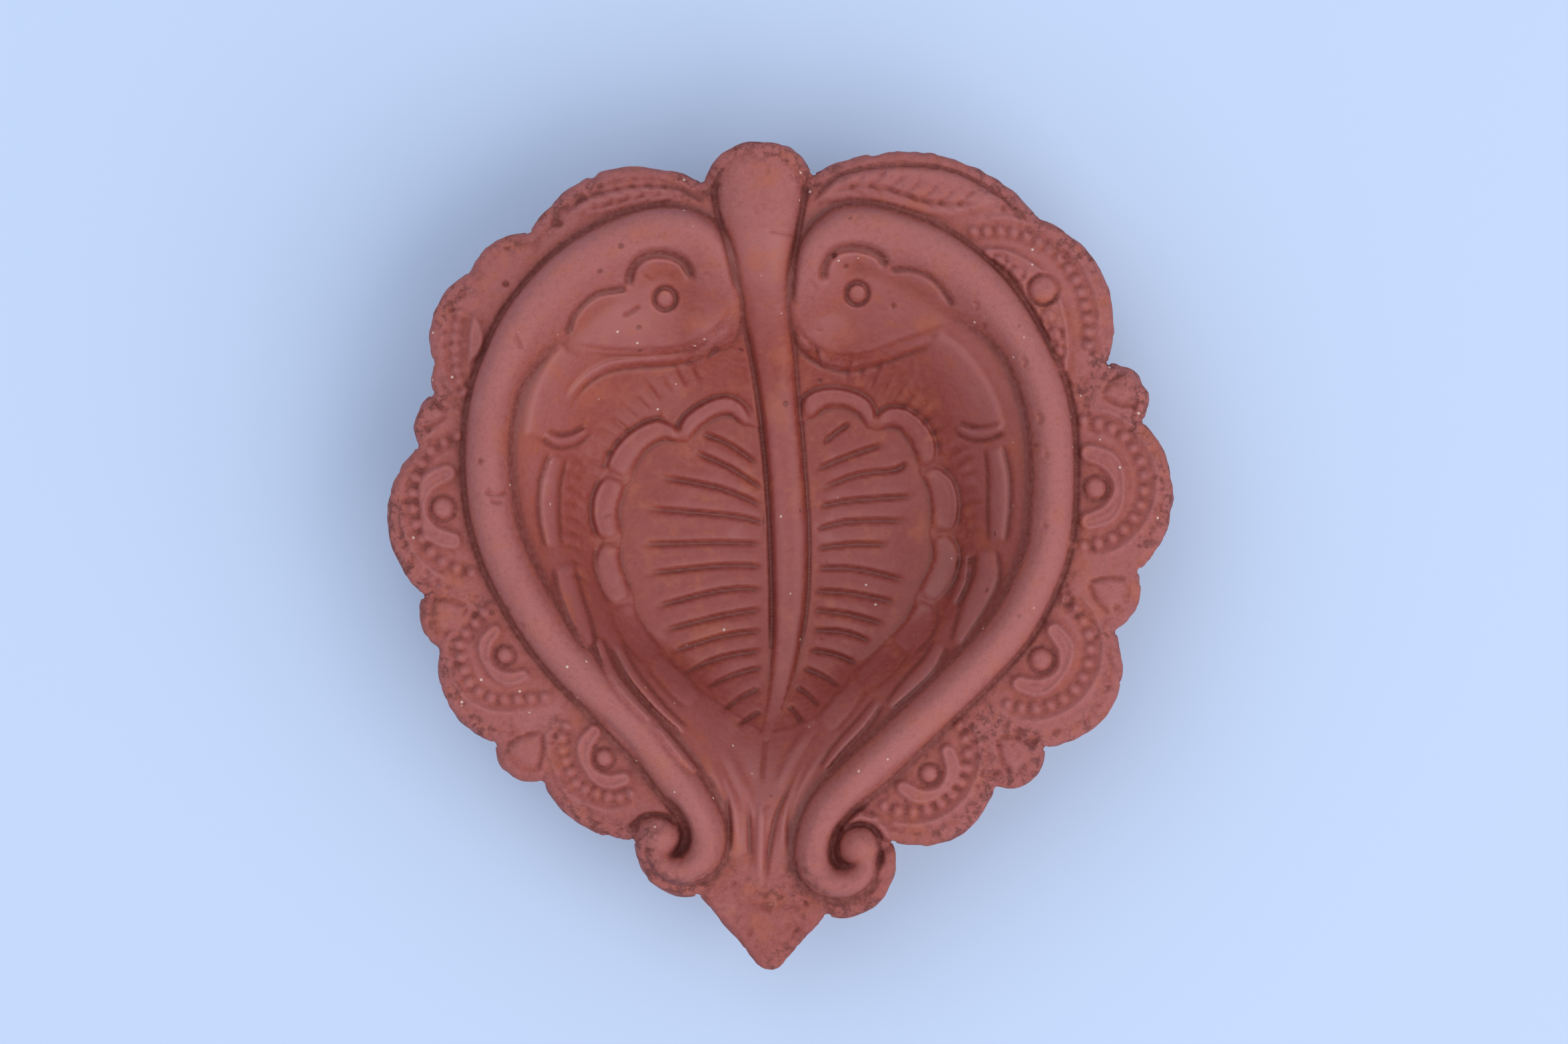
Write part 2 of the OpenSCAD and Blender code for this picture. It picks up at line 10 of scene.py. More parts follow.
import bpy
import numpy as np
from mathutils.geometry import delaunay_2d_cdt
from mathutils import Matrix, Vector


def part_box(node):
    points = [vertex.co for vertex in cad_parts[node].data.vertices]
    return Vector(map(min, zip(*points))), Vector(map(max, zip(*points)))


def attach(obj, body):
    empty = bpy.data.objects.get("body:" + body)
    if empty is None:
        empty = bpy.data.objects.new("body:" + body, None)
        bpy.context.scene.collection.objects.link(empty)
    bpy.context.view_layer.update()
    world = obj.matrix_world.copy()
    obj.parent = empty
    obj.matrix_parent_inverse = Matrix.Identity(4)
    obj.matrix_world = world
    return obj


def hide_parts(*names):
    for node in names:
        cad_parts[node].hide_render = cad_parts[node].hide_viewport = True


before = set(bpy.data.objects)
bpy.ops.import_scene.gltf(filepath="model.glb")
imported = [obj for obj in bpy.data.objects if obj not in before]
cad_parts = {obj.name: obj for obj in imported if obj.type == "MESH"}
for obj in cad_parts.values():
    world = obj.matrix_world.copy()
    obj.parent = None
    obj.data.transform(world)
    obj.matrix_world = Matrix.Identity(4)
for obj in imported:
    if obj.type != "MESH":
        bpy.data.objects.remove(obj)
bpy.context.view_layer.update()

# ---------------------------------------------------------------- sizes, from the CAD frame
left_low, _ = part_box("border_left")
right_low, right_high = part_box("border_right")
foot_low, foot_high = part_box("foot")
DRAWN_WIDTH = 90.3  # width of the border in drawn millimetres
MM = (right_high.x - left_low.x) / DRAWN_WIDTH  # one drawn millimetre, in metres

BORDER_TOP = right_high.z / MM
BORDER_LOW = right_low.z / MM
SPOUT_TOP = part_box("spout_lip")[1].z / MM
NECK_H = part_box("neck_right")[1].z / MM - BORDER_TOP
FOOT_R = (foot_high.x - foot_low.x) / 2 / MM
FOOT_TOP = foot_high.z / MM
FLOOR_Z = 5.0  # lowest point inside the bowl

PITCH = 0.25  # spacing of the points of the height field
EDGE = 1.0  # radius of the rounded outer edge
SEAT = 1.0  # how deep each element reaches into the body below it
LOOP_POINTS = 1100
ROW_SHARE = 0.87  # spacing of the rows of the height field, as a share of PITCH
COARSE_STEP = 4  # every so many points are kept on the lower side
POCKET_GAP = 0.03  # how far the body's pocket lies below the element in it
FOOT_WORN = 0.35  # how worn the foot is, from 0 to 1
MOST_COPIED = 80000  # a larger piece keeps its sparse lower side, to stay light

# ---------------------------------------------------------------- plan of the body
# Distance from the origin to the crest of the rim, every 15 degrees anticlockwise from +X
RIM_R = [31.2, 33.4, 36.2, 38.5, 40.2, 39.4, 37.5, 39.1, 40.6, 39.5, 36.8, 33.8,
         30.3, 27.6, 25.6, 24.5, 25.4, 29.4, 31.5, 28.5, 25.8, 25.3, 26.3, 28.8]
# Share of that distance at which the floor turns up into the wall, every 45 degrees
WALL_START = [0.68, 0.55, 0.45, 0.55, 0.68, 0.66, 0.40, 0.66]
RIM_IN, RIM_OUT = 1.6, 2.6  # half widths of the rim under the necks
FLOOR_SHARE = 0.22  # share of the rise that the dished floor takes
BORDER_MIN = 3.0  # least width of the border outside the necks
MIDDLE_X = -1.4  # line through the knob and the spout, which isn't quite in the middle
KNOB_FROM, KNOB_SPAN = 37, (-6.9, 3.9)  # lowest y of the knob, and its x from left to right

# Discs whose joined outline is the scalloped edge: x, y, radius
LOBES = [
    (15.0, 27.2, 19.8), (27.2, 27.2, 12.2), (39.1, 18.2, 4.2), (34.9, 7.5, 11.3),
    (37.3, -3.4, 5.2), (31.2, -12.3, 9.2), (27.2, -22.2, 4.1), (17.0, -23.9, 9.0),
    (8.2, -35.1, 6.0), (-15.2, 31.0, 14.15), (-28.4, 31.0, 6.5), (-30.6, 25.5, 8.6),
    (-36.9, 15.2, 4.2), (-32.8, 4.7, 11.3), (-36.3, -6.5, 4.2), (-28.8, -11.9, 9.6),
    (-27.5, -21.5, 4.1), (-16.2, -21.4, 10.8), (-9.8, -32.9, 5.8),
    (29.3, 34.9, 4.7), (-34.6, 20.6, 4.4), (-1.4, 41.3, 6.7), (-0.2, -45.7, 1.6),
]
SPOUT = [(7.4, -39.5), (6.2, -40.9), (1.0, -46.8), (-1.4, -46.7), (-8.2, -38.7), (-9.2, -37.5)]
THROAT_FLOOR = [(2.6, -28), (2.8, -34), (4.6, -38), (6.0, -40.2), (-7.6, -38.4), (-6.0, -36),
                (-4.6, -32), (-5.2, -28)]

# ---------------------------------------------------------------- small maths


def smooth(t):
    t = np.clip(t, 0.0, 1.0)
    return t * t * (3 - 2 * t)


def catmull(a, b, c, d, t):
    return 0.5 * (2 * b + (c - a) * t + (2 * a - 5 * b + 4 * c - d) * t**2
                  + (3 * b - a - 3 * c + d) * t**3)


def curve(points, steps=5):
    """Smooth curve through points; a point may carry more numbers after x and y."""
    p = np.array(points, float)
    last = len(p) - 1
    t = np.arange(steps)[:, None] / steps
    spans = [catmull(p[max(i - 1, 0)], p[i], p[i + 1], p[min(i + 2, last)], t) for i in range(last)]
    return np.vstack([*spans, p[-1:]])


def around(values, angle):
    """Smooth value at an angle, from values spread evenly over the full turn."""
    v = np.array(values, float)
    s = (angle % 360.0) / 360.0 * len(v)
    i = np.floor(s).astype(int)
    n = len(v)
    return catmull(v[(i - 1) % n], v[i % n], v[(i + 1) % n], v[(i + 2) % n], s - i)


def noise(x, y, size, seed):
    """Smooth noise from -1 to 1 whose features are about size across."""
    table = np.random.default_rng(seed).uniform(-1, 1, (128, 128))
    u, v = x / size + 640.5, y / size + 640.5
    i, j = np.floor(u).astype(int), np.floor(v).astype(int)
    fu, fv = smooth(u - i), smooth(v - j)
    i0, i1, j0, j1 = i % 128, (i + 1) % 128, j % 128, (j + 1) % 128
    low = table[i0, j0] * (1 - fu) + table[i1, j0] * fu
    high = table[i0, j1] * (1 - fu) + table[i1, j1] * fu
    return low * (1 - fv) + high * fv


def rim_r(angle):
    return around(RIM_R, angle)


def rim_z(angle):
    """Height of the rim, which dips at the spout."""
    off = np.abs((angle + 450.0) % 360.0 - 180.0)
    return BORDER_TOP - (BORDER_TOP - SPOUT_TOP) * smooth((off - 160.0) / 14.0)


def ground(x, y):
    """The clay without its relief: bowl, border and spout."""
    r, angle = np.hypot(x, y), np.degrees(np.arctan2(y, x))
    t = r / (rim_r(angle) - RIM_IN)
    start = around(WALL_START, angle)
    rise = FLOOR_SHARE * t**2 + (1 - FLOOR_SHARE) * smooth((t - start) / (1 - start))
    top = rim_z(angle)
    return np.where(t >= 1, top, FLOOR_Z + (top - FLOOR_Z) * rise)


def underside(x, y):
    """The lower surface: flat inside the foot, then a belly that runs out into the border."""
    r, angle = np.hypot(x, y), np.degrees(np.arctan2(y, x))
    span = rim_r(angle) + RIM_OUT + 1.5 - FOOT_R
    s = np.clip((r - FOOT_R - 0.6) / span, 0, 1.5)
    belly = FOOT_TOP + (BORDER_LOW - FOOT_TOP) * (0.25 * s + 0.85 * s**2.0)
    k = 2.2  # softness of the turn from belly to border
    mix = np.clip(0.5 + 0.5 * (belly - BORDER_LOW) / k, 0, 1)
    return belly * (1 - mix) + BORDER_LOW * mix - k * mix * (1 - mix)


def inside_polygon(x, y, corners):
    inside = np.zeros(x.shape, bool)
    for (ax, ay), (bx, by) in zip(corners, np.roll(corners, -1, 0)):
        crosses = (ay > y) != (by > y)
        with np.errstate(divide="ignore", invalid="ignore"):
            inside ^= crosses & (x < (bx - ax) * (y - ay) / (by - ay) + ax)
    return inside


def polygon_distance(x, y, corners):
    """Distance to a polygon's edge, negative inside it."""
    best = np.full(x.shape, 1e9)
    for (ax, ay), (bx, by) in zip(corners, np.roll(corners, -1, 0)):
        ex, ey = bx - ax, by - ay
        t = np.clip(((x - ax) * ex + (y - ay) * ey) / (ex * ex + ey * ey + 1e-12), 0, 1)
        best = np.minimum(best, np.hypot(x - ax - t * ex, y - ay - t * ey))
    return np.where(inside_polygon(x, y, corners), -best, best)


def soft_min(a, b, k):
    h = np.clip(0.5 + 0.5 * (b - a) / k, 0, 1)
    return b * (1 - h) + a * h - k * h * (1 - h)


def outline_distance(x, y):
    """Distance to the scalloped outline of the whole lamp, negative inside it."""
    angle = np.degrees(np.arctan2(y, x))
    d = (np.hypot(x, y) - rim_r(angle) - RIM_OUT - BORDER_MIN) * 0.97
    for cx, cy, cr in LOBES:
        d = soft_min(d, np.hypot(x - cx, y - cy) - cr, 0.5)
    for corners in (SPOUT, THROAT_FLOOR):
        d = soft_min(d, polygon_distance(x, y, np.array(corners, float)), 0.3)
    return d


def spread(loop, count):
    """A closed loop as count points with even spacing."""
    closed = np.vstack([loop, loop[:1]])
    length = np.concatenate([[0], np.cumsum(np.hypot(*np.diff(closed, axis=0).T))])
    at = np.linspace(0, length[-1], count, endpoint=False)
    return np.stack([np.interp(at, length, closed[:, 0]), np.interp(at, length, closed[:, 1])], 1)


def contour(values, xs, ys):
    """Longest closed line on which gridded values are zero, with the negative side on its left."""
    inside = values < 0
    mixed = inside[:-1, :-1].astype(int) + inside[:-1, 1:] + inside[1:, 1:] + inside[1:, :-1]
    follow, place = {}, {}

    def crossing(p, q):
        key = (p, q) if p < q else (q, p)
        t = values[p] / (values[p] - values[q])
        place[key] = (xs[p[1]] + t * (xs[q[1]] - xs[p[1]]), ys[p[0]] + t * (ys[q[0]] - ys[p[0]]))
        return key

    for i, j in zip(*np.nonzero((mixed > 0) & (mixed < 4))):
        ring = [(i, j), (i, j + 1), (i + 1, j + 1), (i + 1, j)]
        leave, enter = [], []
        for p, q in zip(ring, ring[1:] + ring[:1]):
            if inside[p] and not inside[q]:
                leave.append(crossing(p, q))
            elif inside[q] and not inside[p]:
                enter.append(crossing(p, q))
        for k, start in enumerate(leave):
            follow[start] = enter[k]
    loops = []
    while follow:
        start, here = next(iter(follow.items()))
        loop = [start]
        del follow[start]
        while here in follow:
            loop.append(here)
            here = follow.pop(here)
        loops.append([place[key] for key in loop])
    return np.array(max(loops, key=len))


def distance_to(loop, x, y):
    """Distance from each point to a closed loop, and the nearest point of the loop."""
    best = np.full(x.shape, 1e9)
    near = np.zeros((*x.shape, 2))
    for (ax, ay), (bx, by) in zip(loop, np.roll(loop, -1, 0)):
        ex, ey = bx - ax, by - ay
        t = np.clip(((x - ax) * ex + (y - ay) * ey) / (ex * ex + ey * ey + 1e-12), 0, 1)
        px, py = ax + t * ex, ay + t * ey
        d = np.hypot(x - px, y - py)
        closer = d < best
        best = np.where(closer, d, best)
        near[closer] = np.stack([px, py], -1)[closer]
    return best, near


GRID = 0.25  # spacing of the grid on which the outline is traced
TRACED_X, TRACED_Y = (-49, 50), (-50, 51)  # reach of that grid
FIELD_X, FIELD_Y = (-48, 50), (-49, 50)  # reach of the height field


def inset_loop(count):
    """Points that run along the outline at the start of its rounded edge, and the direction in
    which the edge lies from each."""
    xs, ys = np.arange(*TRACED_X, GRID), np.arange(*TRACED_Y, GRID)
    gx, gy = np.meshgrid(xs, ys)
    rough = outline_distance(gx, gy)
    outline = contour(rough, xs, ys)
    outline = spread(outline, 2 * len(outline) // 3)
    exact = np.where(rough < 0, -9.0, 9.0)
    band = (rough > -4) & (rough < 1)
    d, _ = distance_to(outline, gx[band], gy[band])
    exact[band] = np.where(rough[band] < 0, -d, d)
    inner = spread(contour(exact + EDGE, xs, ys), count)
    _, near = distance_to(outline, inner[:, 0], inner[:, 1])
    out = near - inner
    return inner, out / np.hypot(*out.T)[:, None]


# ---------------------------------------------------------------- the elements
BODY = ["bowl", "border_left", "border_right", "spout_lip", "stem_knob"]
MEDALLION_NAMES = [f"medallion_{k}_{side}" for side in ("left", "right") for k in (1, 2, 3, 4)]
MOTIF_NAMES = [f"lobe_motif_{k}_{side}" for side in ("left", "right") for k in (1, 2, 3)]
ELEMENTS = BODY + [
    "midrib", "neck_left", "neck_right", "head_left", "head_right", "eye_left", "eye_right",
    "scroll_left", "scroll_right", "veins_left", "veins_right",
    "feather_band_left", "feather_band_right", "outer_feathers_left", "outer_feathers_right",
    "wing_barbs_left", "wing_barbs_right", "throat_ridge", "throat_lines_left",
    "throat_lines_right", "crown_leaf_left", "crown_leaf_right",
] + MEDALLION_NAMES + MOTIF_NAMES
INDEX = {name: k for k, name in enumerate(ELEMENTS)}

NECK_RIGHT = [
    (4.6, 26.2), (3.9, 28.6), (4.3, 32.0), (5.6, 35.6), (8.2, 37.9), (11.2, 38.2),
    (14.5, 37.4), (18.0, 36.0), (21.6, 33.7), (24.8, 30.6), (27.4, 27.0), (29.6, 23.0),
    (31.2, 19.0), (32.0, 15.0), (32.3, 10.5), (32.2, 6.0), (31.7, 1.5), (30.2, -2.7),
    (27.3, -8.0), (23.0, -12.8), (18.6, -17.1), (13.5, -21.8), (9.5, -25.3), (6.3, -28.6),
    (4.8, -31.8), (4.5, -34.8), (5.9, -37.0), (8.4, -37.5), (10.4, -36.4), (11.0, -34.4),
]
NECK_LEFT = [
    (-6.2, 26.4), (-5.4, 28.6), (-5.8, 32.0), (-7.0, 35.6), (-9.4, 37.6), (-13.0, 38.0),
    (-17.0, 36.9), (-21.0, 34.8), (-24.8, 31.7), (-28.2, 27.4), (-30.3, 23.3), (-31.8, 19.0),
    (-32.6, 15.0), (-32.7, 10.5), (-32.1, 5.0), (-30.6, 0.2), (-28.3, -4.5), (-25.4, -9.0),
    (-21.8, -13.2), (-17.6, -17.3), (-13.8, -21.3), (-10.8, -25.2), (-8.4, -28.6), (-7.1, -31.6),
    (-7.6, -34.3), (-9.6, -35.9), (-12.2, -35.6), (-13.6, -33.6),
]
SCROLL_FROM = 24  # the last points of each neck belong to its scroll
# Narrow valley at the outer foot of each neck
GROOVE_RIGHT = [
    (2.4, 29.5), (2.7, 32.5), (3.2, 35.5), (4.6, 38.0), (8.0, 40.2), (12.0, 40.3), (16.0, 39.2),
    (20.0, 37.7), (22.6, 36.0), (26.8, 32.6), (29.9, 28.4), (32.4, 23.9), (34.0, 20.0),
    (34.8, 16.0), (35.0, 12.0), (34.8, 5.0), (34.2, 1.0), (32.7, -3.4), (29.6, -9.3),
    (24.6, -14.6), (17.7, -21.1), (13.5, -24.5), (10.0, -27.8), (8.0, -30.0), (7.2, -32.5),
    (7.3, -34.4), (8.3, -35.6),
]
GROOVE_LEFT = [
    (-3.9, 29.6), (-4.4, 33.0), (-5.6, 37.0), (-8.0, 39.4), (-11.0, 40.3), (-14.0, 40.3),
    (-18.0, 39.0), (-22.0, 37.0), (-26.1, 33.9), (-30.6, 28.7), (-32.8, 24.5), (-34.5, 20.0),
    (-35.1, 15.0), (-35.3, 10.0), (-34.8, 5.0), (-33.2, -0.6), (-30.6, -5.7), (-27.4, -10.6),
    (-23.4, -15.2), (-18.4, -19.2), (-15.6, -22.4), (-13.6, -25.6), (-11.2, -28.2),
    (-9.6, -30.4), (-9.4, -32.2), (-10.2, -33.4), (-11.6, -33.8),
]
BALLS = {"scroll_right": (10.1, -33.1, 2.35), "scroll_left": (-13.0, -32.0, 2.5)}
SPIRALS = [
    [(11.6, -27.0), (9.2, -29.2), (7.4, -31.2), (6.8, -33.2), (7.2, -34.7), (8.3, -35.5)],
    [(-12.4, -27.0), (-10.8, -28.9), (-9.8, -31.0), (-10.1, -32.8), (-11.7, -33.8)],
]
BALL_GROOVES = [
    [(8.4, -30.9), (10.2, -30.4), (12.0, -31.2), (12.7, -33.2), (12.2, -35.0)],
    [(-16.4, -30.9), (-14.6, -29.5), (-12.4, -29.5), (-10.8, -30.6)],
]
BALL_SHELL = [(7.6, -30.6), (9.9, -29.5), (12.4, -30.4), (13.6, -32.8), (13.1, -35.4),
              (11.6, -37.0)]

# Rib from the knob over the wall and the floor: x, y, half width, height
MIDRIB = [
    (-1.4, 50.4, 6.8, 2.4), (-1.4, 47.0, 6.5, 2.6), (-1.4, 43.6, 5.5, 2.7),
    (-1.4, 41.0, 5.0, 2.6), (-1.3, 38.0, 4.4, 2.3), (-1.2, 35.0, 3.7, 1.9),
    (-1.0, 32.0, 3.2, 1.6), (-0.4, 28.0, 2.8, 1.35), (0.4, 22.0, 2.4, 1.2),
    (1.2, 15.0, 2.2, 1.1), (1.8, 8.0, 2.15, 1.05), (2.1, 2.0, 2.15, 1.0), (2.1, -5.0, 1.95, 0.95),
    (1.6, -11.0, 1.5, 0.8), (0.7, -16.0, 1.0, 0.6), (-0.6, -20.5, 0.5, 0.35),
]
KNOB_GROOVES = [
    [(-6.8, 45.0), (-6.6, 42.5), (-6.2, 40.0), (-5.7, 37.6), (-5.0, 34.6), (-4.2, 31.0)],
    [(3.9, 43.4), (3.7, 41.0), (3.2, 38.4), (2.8, 35.4), (2.5, 32.0), (2.4, 29.0)],
]

CROWN_RIGHT = [(6.1, 31.6), (6.0, 33.4), (6.8, 35.0), (8.3, 35.7), (10.4, 35.7), (12.4, 34.9),
               (13.4, 33.3)]
CREST_RIGHT = [(13.4, 33.3), (15.8, 33.3), (18.0, 32.5), (19.6, 31.0), (21.0, 29.0)]
JAW_RIGHT = [(2.6, 27.8), (3.8, 25.7), (6.0, 24.2), (8.6, 23.6), (11.6, 24.0), (14.7, 25.1),
             (17.8, 26.2), (21.3, 27.4)]
CROWN_LEFT = [(-9.0, 32.0), (-9.8, 33.8), (-11.2, 34.8), (-13.2, 35.1), (-14.9, 34.6),
              (-16.1, 33.3), (-16.6, 31.2)]
CREST_LEFT = [(-16.6, 31.2), (-18.2, 31.0), (-20.1, 30.5), (-21.7, 29.3), (-22.9, 27.7),
              (-23.6, 25.7)]
JAW_LEFT = [(-4.8, 29.0), (-5.8, 27.3), (-8.1, 25.5), (-11.6, 24.5), (-15.6, 24.2),
            (-19.6, 24.3), (-23.3, 24.9)]
UNDER_JAW_LEFT = [(-4.9, 27.0), (-6.1, 25.7), (-8.5, 24.1), (-11.7, 23.4), (-15.6, 23.1),
                  (-18.4, 22.7), (-20.6, 21.7), (-22.4, 20.1), (-23.6, 18.1)]
UNDER_JAW_RIGHT = [(2.7, 26.0), (4.2, 24.4), (6.6, 23.1), (9.2, 22.7), (12.4, 23.4),
                   (15.8, 24.6), (19.0, 25.6)]
# Soft shoulders of the wall between heads and outer feathers
SHOULDER_LEFT = [(-23.6, 24.6), (-25.2, 22.5), (-26.4, 20.1), (-27.2, 17.4), (-27.6, 14.0)]
SHOULDER_RIGHT = [(26.4, 14.6), (25.3, 18.2), (23.6, 21.3), (21.3, 24.0), (18.7, 26.0)]
EYES = {"eye_right": (9.9, 30.7), "eye_left": (-12.3, 30.1)}
EYE_R = 1.25

# Segments of the scalloped band around the leaf: outer edge, inner edge
BAND_RIGHT = [
    ([(3.3, 17.0), (4.0, 18.9), (6.2, 19.8), (9.0, 19.6), (11.3, 18.5), (12.2, 16.4)],
     [(5.2, 16.8), (6.6, 18.0), (8.8, 17.9), (10.4, 16.9), (11.2, 15.4)]),
    ([(12.3, 16.6), (13.4, 17.5), (15.2, 17.6), (17.3, 16.4), (18.9, 14.1), (19.3, 11.2)],
     [(12.6, 15.0), (14.2, 15.6), (15.6, 14.9), (16.7, 13.0), (17.3, 10.8)]),
    ([(19.4, 10.5), (21.1, 9.2), (21.8, 6.6), (21.5, 3.4)],
     [(17.4, 10.0), (18.4, 8.4), (18.9, 5.8), (18.6, 3.1)]),
    ([(21.0, 2.6), (21.8, 0.7), (21.2, -2.1), (19.5, -4.8)],
     [(18.6, 2.4), (19.1, 0.5), (18.3, -2.0), (16.9, -4.4)]),
    ([(19.2, -5.4), (18.7, -8.2), (16.3, -10.9)], [(16.7, -5.2), (15.7, -7.6), (13.5, -9.6)]),
    ([(15.8, -11.0), (13.7, -13.3), (11.5, -15.1)], [(12.9, -10.3), (11.4, -11.9), (9.6, -13.4)]),
    ([(11.0, -15.0), (9.2, -17.4), (7.0, -20.0)], [(9.2, -14.0), (7.4, -16.2), (5.2, -18.6)]),
]
BAND_LEFT = [
    ([(-2.2, 16.4), (-3.6, 18.2), (-5.5, 18.9), (-8.0, 18.1), (-10.2, 16.5), (-11.1, 14.7)],
     [(-3.6, 15.8), (-4.9, 17.0), (-6.6, 16.7), (-8.5, 15.4), (-9.8, 13.7)]),
    ([(-11.3, 14.9), (-13.0, 16.1), (-15.0, 15.7), (-17.2, 14.2), (-18.9, 12.0), (-19.6, 9.9)],
     [(-10.6, 13.7), (-12.5, 14.1), (-14.3, 13.3), (-15.8, 11.6), (-16.4, 9.7)]),
    ([(-19.8, 9.4), (-20.8, 7.2), (-20.9, 4.6), (-20.2, 2.3)],
     [(-16.7, 9.1), (-17.7, 7.4), (-18.2, 5.3), (-17.5, 2.8)]),
    ([(-20.2, 1.4), (-20.5, -0.5), (-19.7, -3.2), (-18.6, -5.2)],
     [(-17.7, 1.8), (-17.9, 0.0), (-17.3, -2.1), (-16.2, -4.4)]),
    ([(-18.5, -5.7), (-17.8, -7.8), (-16.2, -10.3), (-14.5, -12.0)],
     [(-16.1, -5.2), (-15.7, -7.1), (-14.2, -9.2), (-12.6, -10.9)]),
    ([(-14.4, -12.3), (-12.6, -14.3), (-9.9, -17.1)],
     [(-12.5, -11.3), (-10.7, -13.3), (-8.0, -15.7)]),
]

# Long feathers outside the band: x, y, half width
OUTER_RIGHT = [
    [(21.4, 15.4, 0.4), (23.2, 14.6, 0.55), (25.0, 14.6, 0.55), (26.6, 15.2, 0.4)],
    [(25.7, 13.2, 0.8), (26.3, 9.6, 1.0), (26.3, 5.6, 1.0), (26.1, 1.8, 0.7)],
    [(24.9, 1.2, 0.9), (24.9, -2.0, 1.2), (23.4, -5.4, 1.1), (21.2, -10.2, 0.4)],
    [(19.7, -9.6, 0.5), (18.2, -12.2, 0.75), (15.9, -14.6, 0.7), (13.4, -17.2, 0.3)],
    [(12.6, -16.2, 0.3), (10.6, -18.8, 0.5), (8.0, -21.6, 0.5), (5.8, -24.4, 0.3)],
    [(22.8, 0.6, 0.25), (22.3, -2.6, 0.45), (21.0, -5.4, 0.3)],
]
OUTER_LEFT = [
    [(-26.2, 14.5, 0.4), (-24.8, 13.7, 0.55), (-23.0, 14.0, 0.55), (-21.2, 15.2, 0.4)],
    [(-24.7, 12.2, 0.8), (-25.6, 9.2, 0.9), (-25.8, 5.4, 0.9), (-25.2, 1.2, 0.6)],
    [(-24.1, -0.4, 0.9), (-23.2, -4.2, 1.0), (-21.8, -8.0, 0.9), (-20.7, -10.2, 0.4)],
    [(-20.2, -9.0, 0.3), (-18.9, -12.0, 0.5), (-16.4, -15.6, 0.5), (-13.6, -18.6, 0.3)],
    [(-18.2, -9.6, 0.3), (-16.2, -13.2, 0.45), (-13.2, -16.8, 0.45), (-9.8, -20.0, 0.3)],
    [(-13.2, -19.0, 0.3), (-10.8, -21.8, 0.5), (-8.4, -24.6, 0.35)],
]

# Engraved veins, from the midrib outwards
VEINS_RIGHT = [
    [(6.0, 13.5), (7.6, 14.8), (9.2, 15.9)], [(5.0, 10.3), (9.0, 12.0), (13.5, 13.5)],
    [(5.2, 7.9), (10.0, 9.8), (14.6, 10.4), (15.8, 11.4)], [(5.4, 6.0), (9.5, 6.8), (17.4, 7.3)],
    [(5.1, 3.3), (9.0, 4.3), (16.4, 4.4)], [(5.1, 1.1), (9.0, 1.6), (14.0, 1.6)],
    [(5.0, -1.2), (10.0, -1.3), (16.0, -2.7)], [(4.8, -3.9), (9.0, -4.1), (15.0, -5.3)],
    [(4.6, -6.1), (9.0, -6.6), (13.6, -7.9)], [(4.4, -8.5), (8.6, -8.7), (11.8, -9.9)],
    [(4.2, -10.8), (7.4, -11.3), (10.2, -12.5)], [(3.6, -12.9), (5.8, -13.7), (8.0, -15.0)],
    [(2.8, -15.0), (4.2, -15.9), (5.6, -17.3)], [(2.0, -17.2), (2.8, -18.0), (3.6, -19.2)],
]
VEINS_LEFT = [
    [(-1.6, 11.0), (-5.0, 13.4), (-8.4, 14.7)], [(-0.8, 8.0), (-5.0, 10.7), (-9.2, 12.5)],
    [(-0.8, 6.0), (-6.0, 8.2), (-13.6, 9.6)], [(-0.8, 4.1), (-5.0, 5.0), (-15.6, 5.9)],
    [(-0.9, 1.7), (-7.0, 1.8), (-15.8, 1.6)], [(-0.9, -1.0), (-6.0, -0.9), (-15.5, -1.9)],
    [(-0.9, -3.7), (-6.0, -3.8), (-14.4, -5.9)], [(-0.9, -6.0), (-6.0, -6.8), (-13.2, -8.6)],
    [(-0.9, -8.5), (-6.0, -9.2), (-12.0, -11.1)], [(-0.9, -10.8), (-6.0, -11.7), (-10.5, -13.5)],
    [(-0.9, -12.8), (-4.4, -13.7), (-7.9, -15.2)], [(-1.2, -15.2), (-3.5, -16.2), (-5.9, -17.9)],
    [(-1.2, -17.8), (-2.6, -18.6), (-4.0, -19.5)],
]

THROAT_RIDGE = [(-1.1, -26.6), (-1.2, -30.0), (-1.3, -33.4), (-1.4, -37.0)]
THROAT_RIDGES = {
    "throat_lines_right": [
        [(6.4, -21.4), (3.8, -24.8), (2.1, -28.4), (1.3, -32.0), (1.0, -35.4)],
        [(4.6, -19.4), (2.2, -23.2), (0.6, -26.6)],
    ],
    "throat_lines_left": [
        [(-8.0, -22.4), (-5.8, -25.6), (-4.4, -28.4), (-4.0, -31.4), (-4.1, -34.6)],
        [(-5.6, -21.4), (-4.2, -24.6), (-2.9, -27.4), (-2.3, -30.4)],
    ],
}
THROAT_GROOVES = [
    [(3.0, -24.2), (1.8, -26.8), (0.6, -29.4), (-0.1, -32.6), (-0.6, -35.8), (-1.0, -39.0)],
    [(-0.2, -18.6), (-0.7, -21.4), (-1.0, -24.0), (-1.1, -26.2)],
    [(-3.4, -25.6), (-2.7, -28.8), (-2.5, -32.2), (-2.4, -36.0)],
    [(5.4, -21.8), (3.0, -26.0), (2.0, -30.0), (2.0, -33.6)],
    [(-6.8, -23.0), (-5.2, -27.0), (-4.9, -31.0), (-5.2, -34.4)],
]

